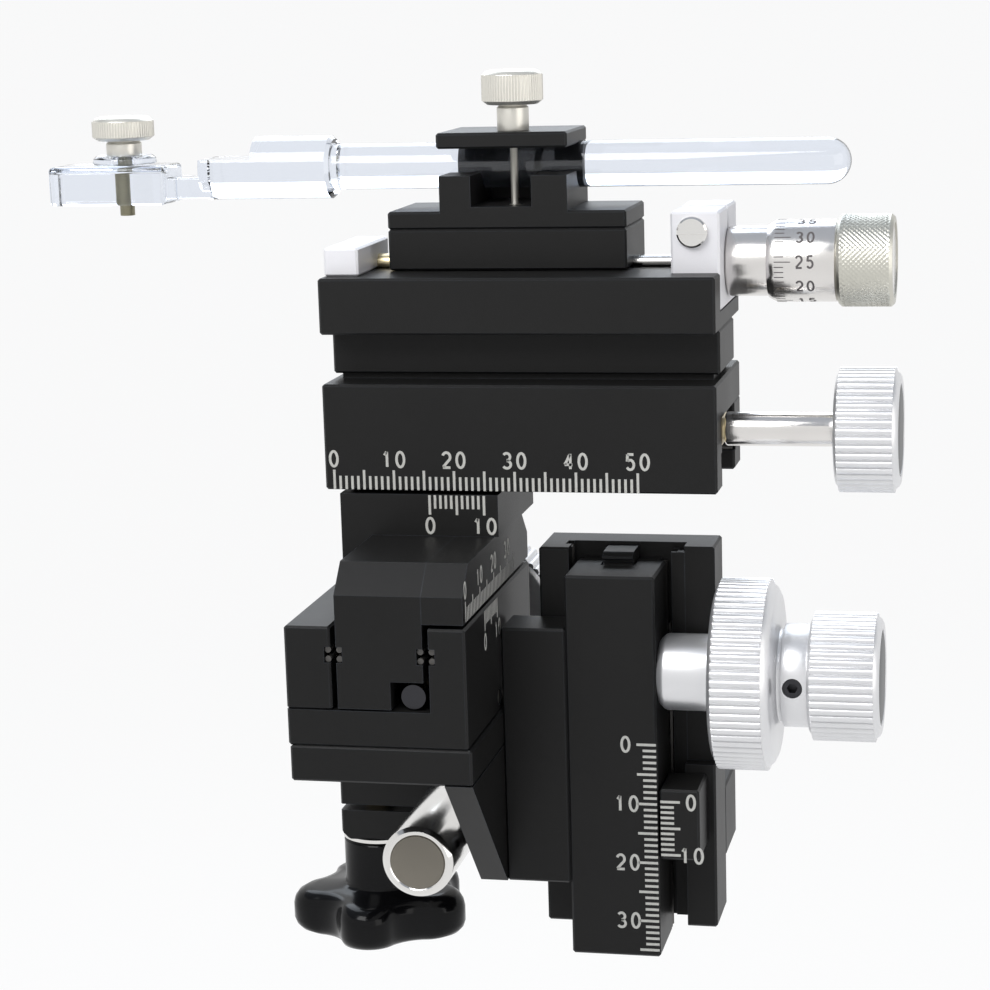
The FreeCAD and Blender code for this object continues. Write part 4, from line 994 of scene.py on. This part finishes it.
def make_star_knob():
    """Five-lobed knob with soft edges and a round neck; its sections are (height, inset from the outline)."""
    low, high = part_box("star_knob")
    bar_low, bar_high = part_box("rod_clamp_bar")
    centre = Vector((place(0.4, 0, 0).x, (bar_low.y + bar_high.y) / 2, low.z))
    top = (high.z - low.z) / MM
    reach = 16.1
    head = 8.0
    round_at = 9.0
    neck = 6.65
    bore = 2.5
    lobe = 5.0
    hollow = 7.0
    sections = [(0.0, -16.0), (0.0, -4.2), (0.25, -2.4), (0.8, -1.1), (1.6, -0.35), (2.6, 0.0), (5.2, 0.0),
                (6.3, -0.3), (7.2, -1.0), (7.8, -2.2), (head, -4.0), (head + 0.15, -8.0), (head + 0.5, -9.2)]
    turns = angles(240)
    star = [star_radius(angle + math.pi / 2, reach, lobe, hollow, lobes=5) for angle in turns]
    outlines = []
    for z, inset in sections:
        blend = min(1.0, -inset / round_at)
        circle = max(0.0, reach + inset)
        outlines.append((z, [(radius + inset) * (1 - blend) + circle * blend for radius in star]))
    rounds = [(head + 1.0, neck), (top - 0.4, neck), (top, neck - 0.35), (top, bore), (top - 1, bore)]
    outlines += [(z, [radius] * len(turns)) for z, radius in rounds]
    bm = bmesh.new()
    rings = [[bm.verts.new(centre + Vector((radius * math.cos(angle), radius * math.sin(angle), z)) * MM)
              for angle, radius in zip(turns, outline)] for z, outline in outlines]
    skin(bm, rings)
    bm.faces.new(list(reversed(rings[0])))
    bm.faces.new(rings[-1])
    bmesh.ops.remove_doubles(bm, verts=bm.verts, dist=1e-7)
    finish_piece(built("star_knob_moulded", bm), PLASTIC, "star", ["star_knob"],
                 sharp=40.0)


def make_holder_rod():
    """Clear rod with a round end, a collar with a flat, a low neck and a tip block with a pipette groove."""
    low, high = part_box("holder_rod")
    foot = 5.8
    centre = Vector((low.x, place(0, 45.6, 0).y, low.z + foot * MM))

    def at(x, y, z):
        return centre + Vector((x, y, z)) * MM

    length = (high.x - low.x) / MM
    radius = 3.8
    round_steps = 12
    collar_start = 26.7
    collar_end = 49.4
    flat_end = 35.8
    tip_end = 20.6
    tip_half_width = 5.2
    groove_radius = 0.75
    capsule = [(collar_end - 1, 0), (collar_end - 1, radius)]
    for i in range(round_steps + 1):
        angle = math.pi / 2 * i / round_steps
        across = radius * math.cos(angle) if i < round_steps else 0
        capsule.append((length - radius + radius * math.sin(angle), across))
    rod = lathe("holder_clear", "x", centre, capsule, bevel=0)
    collar = lathe("collar", "x", centre, [
        (collar_start, 0), (collar_start, 4.9), (collar_start + 0.5, 5.25), (collar_end - 0.6, 5.25),
        (collar_end, 4.7), (collar_end, 0)], bevel=0)
    flat = block("flat", at(flat_end - 12, -8, 1.7), at(flat_end, 8, 7.7), bevel=0.01)
    collar = combined(collar, flat, "DIFFERENCE")
    neck = block("neck", at(tip_end - 1.6, -radius, -4.8), at(collar_start + 1.8, radius, -1.3), bevel=0.3)
    tip = block("tip", at(0, -tip_half_width, -foot), at(tip_end, tip_half_width, 0.8), bevel=0.8)
    groove = lathe("groove", "x", at(0, -3.0, 0.18), [
        (-1, 0), (-1, groove_radius), (tip_end + 1.4, groove_radius), (tip_end + 1.4, 0)],
        segments=32, bevel=0)
    for part in (collar, neck, combined(tip, groove, "DIFFERENCE")):
        rod = combined(rod, part, "UNION")
    finish_piece(rod, ACRYLIC, "holder", ["holder_rod"])


# Camera, floor and light

def make_camera():
    """Camera at the photograph's viewing angle."""
    data = bpy.data.cameras.new("camera")
    data.sensor_width = 36.0
    data.lens = LENS
    data.shift_x = SHIFT_X
    data.shift_y = SHIFT_Y
    data.clip_end = 200.0
    camera = bpy.data.objects.new("camera", data)
    bpy.context.scene.collection.objects.link(camera)
    right = Vector(LOOK_RIGHT).normalized()
    up = -(Vector(LOOK_DOWN) - right * right.dot(Vector(LOOK_DOWN))).normalized()
    camera.matrix_world = face_frame(place(*EYE), right, up)
    bpy.context.scene.camera = camera


def seen_directly(tree):
    """Value that is 1 for rays that show the background itself, in mirrors and glass too."""
    path = tree.nodes.new("ShaderNodeLightPath")
    first = math_node(tree, "ADD", path.outputs["Is Camera Ray"], path.outputs["Is Glossy Ray"], True)
    return math_node(tree, "ADD", first, path.outputs["Is Transmission Ray"], True)


def make_floor():
    """Pale floor that sweeps up all round, low enough to clear every piece at every pose."""
    drop = 120
    glow_share = 0.92
    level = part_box("star_knob")[0].z - drop * MM
    sweep = [(0, 0), (0, 5500), (350, 6900), (1400, 7700), (5200, 8000)]
    floor = lathe("floor", "z", Vector((0, 0, level)), sweep, segments=64, bevel=0)
    mesh = floor.data
    mesh.flip_normals()
    mesh.polygons.foreach_set("use_smooth", [True] * len(mesh.polygons))
    material = bpy.data.materials.new("floor")
    material.use_nodes = True
    tree = material.node_tree
    shader = tree.nodes["Principled BSDF"]
    shader.inputs["Base Color"].default_value = (0.82, 0.82, 0.82, 1)
    shader.inputs["Roughness"].default_value = 0.9
    glow = tree.nodes.new("ShaderNodeEmission")
    glow.inputs["Strength"].default_value = 1.0
    mix = tree.nodes.new("ShaderNodeMixShader")
    factor = math_node(tree, "MULTIPLY", seen_directly(tree), glow_share)
    tree.links.new(factor, mix.inputs["Fac"])
    tree.links.new(shader.outputs["BSDF"], mix.inputs[1])
    tree.links.new(glow.outputs["Emission"], mix.inputs[2])
    tree.links.new(mix.outputs["Shader"], tree.nodes["Material Output"].inputs["Surface"])
    mesh.materials.append(material)


def make_lamp(name, position, target, size, power, colour=(1, 1, 1)):
    """Soft rectangular lamp; places are in millimetres from the Y rail's corner, sizes in metres."""
    data = bpy.data.lights.new(name, "AREA")
    data.shape = "RECTANGLE"
    data.size, data.size_y = size
    data.energy = power
    data.color = colour
    lamp = bpy.data.objects.new(name, data)
    bpy.context.scene.collection.objects.link(lamp)
    start = place(*position)
    lamp.matrix_world = (start - place(*target)).to_track_quat("Z", "Y").to_matrix().to_4x4()
    lamp.location = start


def make_world():
    """Soft light from all round, cooler and brighter from above."""
    world = bpy.data.worlds.new("world")
    bpy.context.scene.world = world
    world.use_nodes = True
    tree = world.node_tree
    background = tree.nodes["Background"]
    where = tree.nodes.new("ShaderNodeTexCoord")
    parts = tree.nodes.new("ShaderNodeSeparateXYZ")
    tree.links.new(where.outputs["Generated"], parts.inputs["Vector"])
    sky = tree.nodes.new("ShaderNodeValToRGB")
    sky.color_ramp.elements[0].color = (0.34, 0.35, 0.37, 1)
    sky.color_ramp.elements[1].color = (0.84, 0.90, 1.0, 1)
    tree.links.new(parts.outputs["Z"], sky.inputs["Fac"])
    tree.links.new(sky.outputs["Color"], background.inputs["Color"])
    background.inputs["Strength"].default_value = 0.6


dress_nodes()
make_mounting_rod()
make_hand_wheel()
ribbed_knob("end_knob_ribbed", "z_end_knob", "z_drive", "x")
ribbed_knob("x_knob_ribbed", "x_knob", "x_drive", "x")
ribbed_knob("y_knob_ribbed", "y_knob", "y_drive", "y")
make_bearing_sleeve()
make_x_shaft()
make_micrometer()
make_thumbscrews()
make_washer()
make_star_knob()
make_holder_rod()
make_scales()
make_camera()
make_floor()
make_world()
make_lamp("key", (-70, -200, 290), (30, 30, 30), size=(0.25, 0.2), power=1.05)
make_lamp("fill", (420, -160, 120), (60, 30, 10), size=(0.35, 0.35), power=0.5, colour=(1.0, 0.97, 0.94))
make_lamp("back", (-60, 320, 300), (30, 30, 30), size=(0.4, 0.3), power=1.2, colour=(0.85, 0.92, 1.0))

bpy.context.scene.view_settings.view_transform = "Standard"
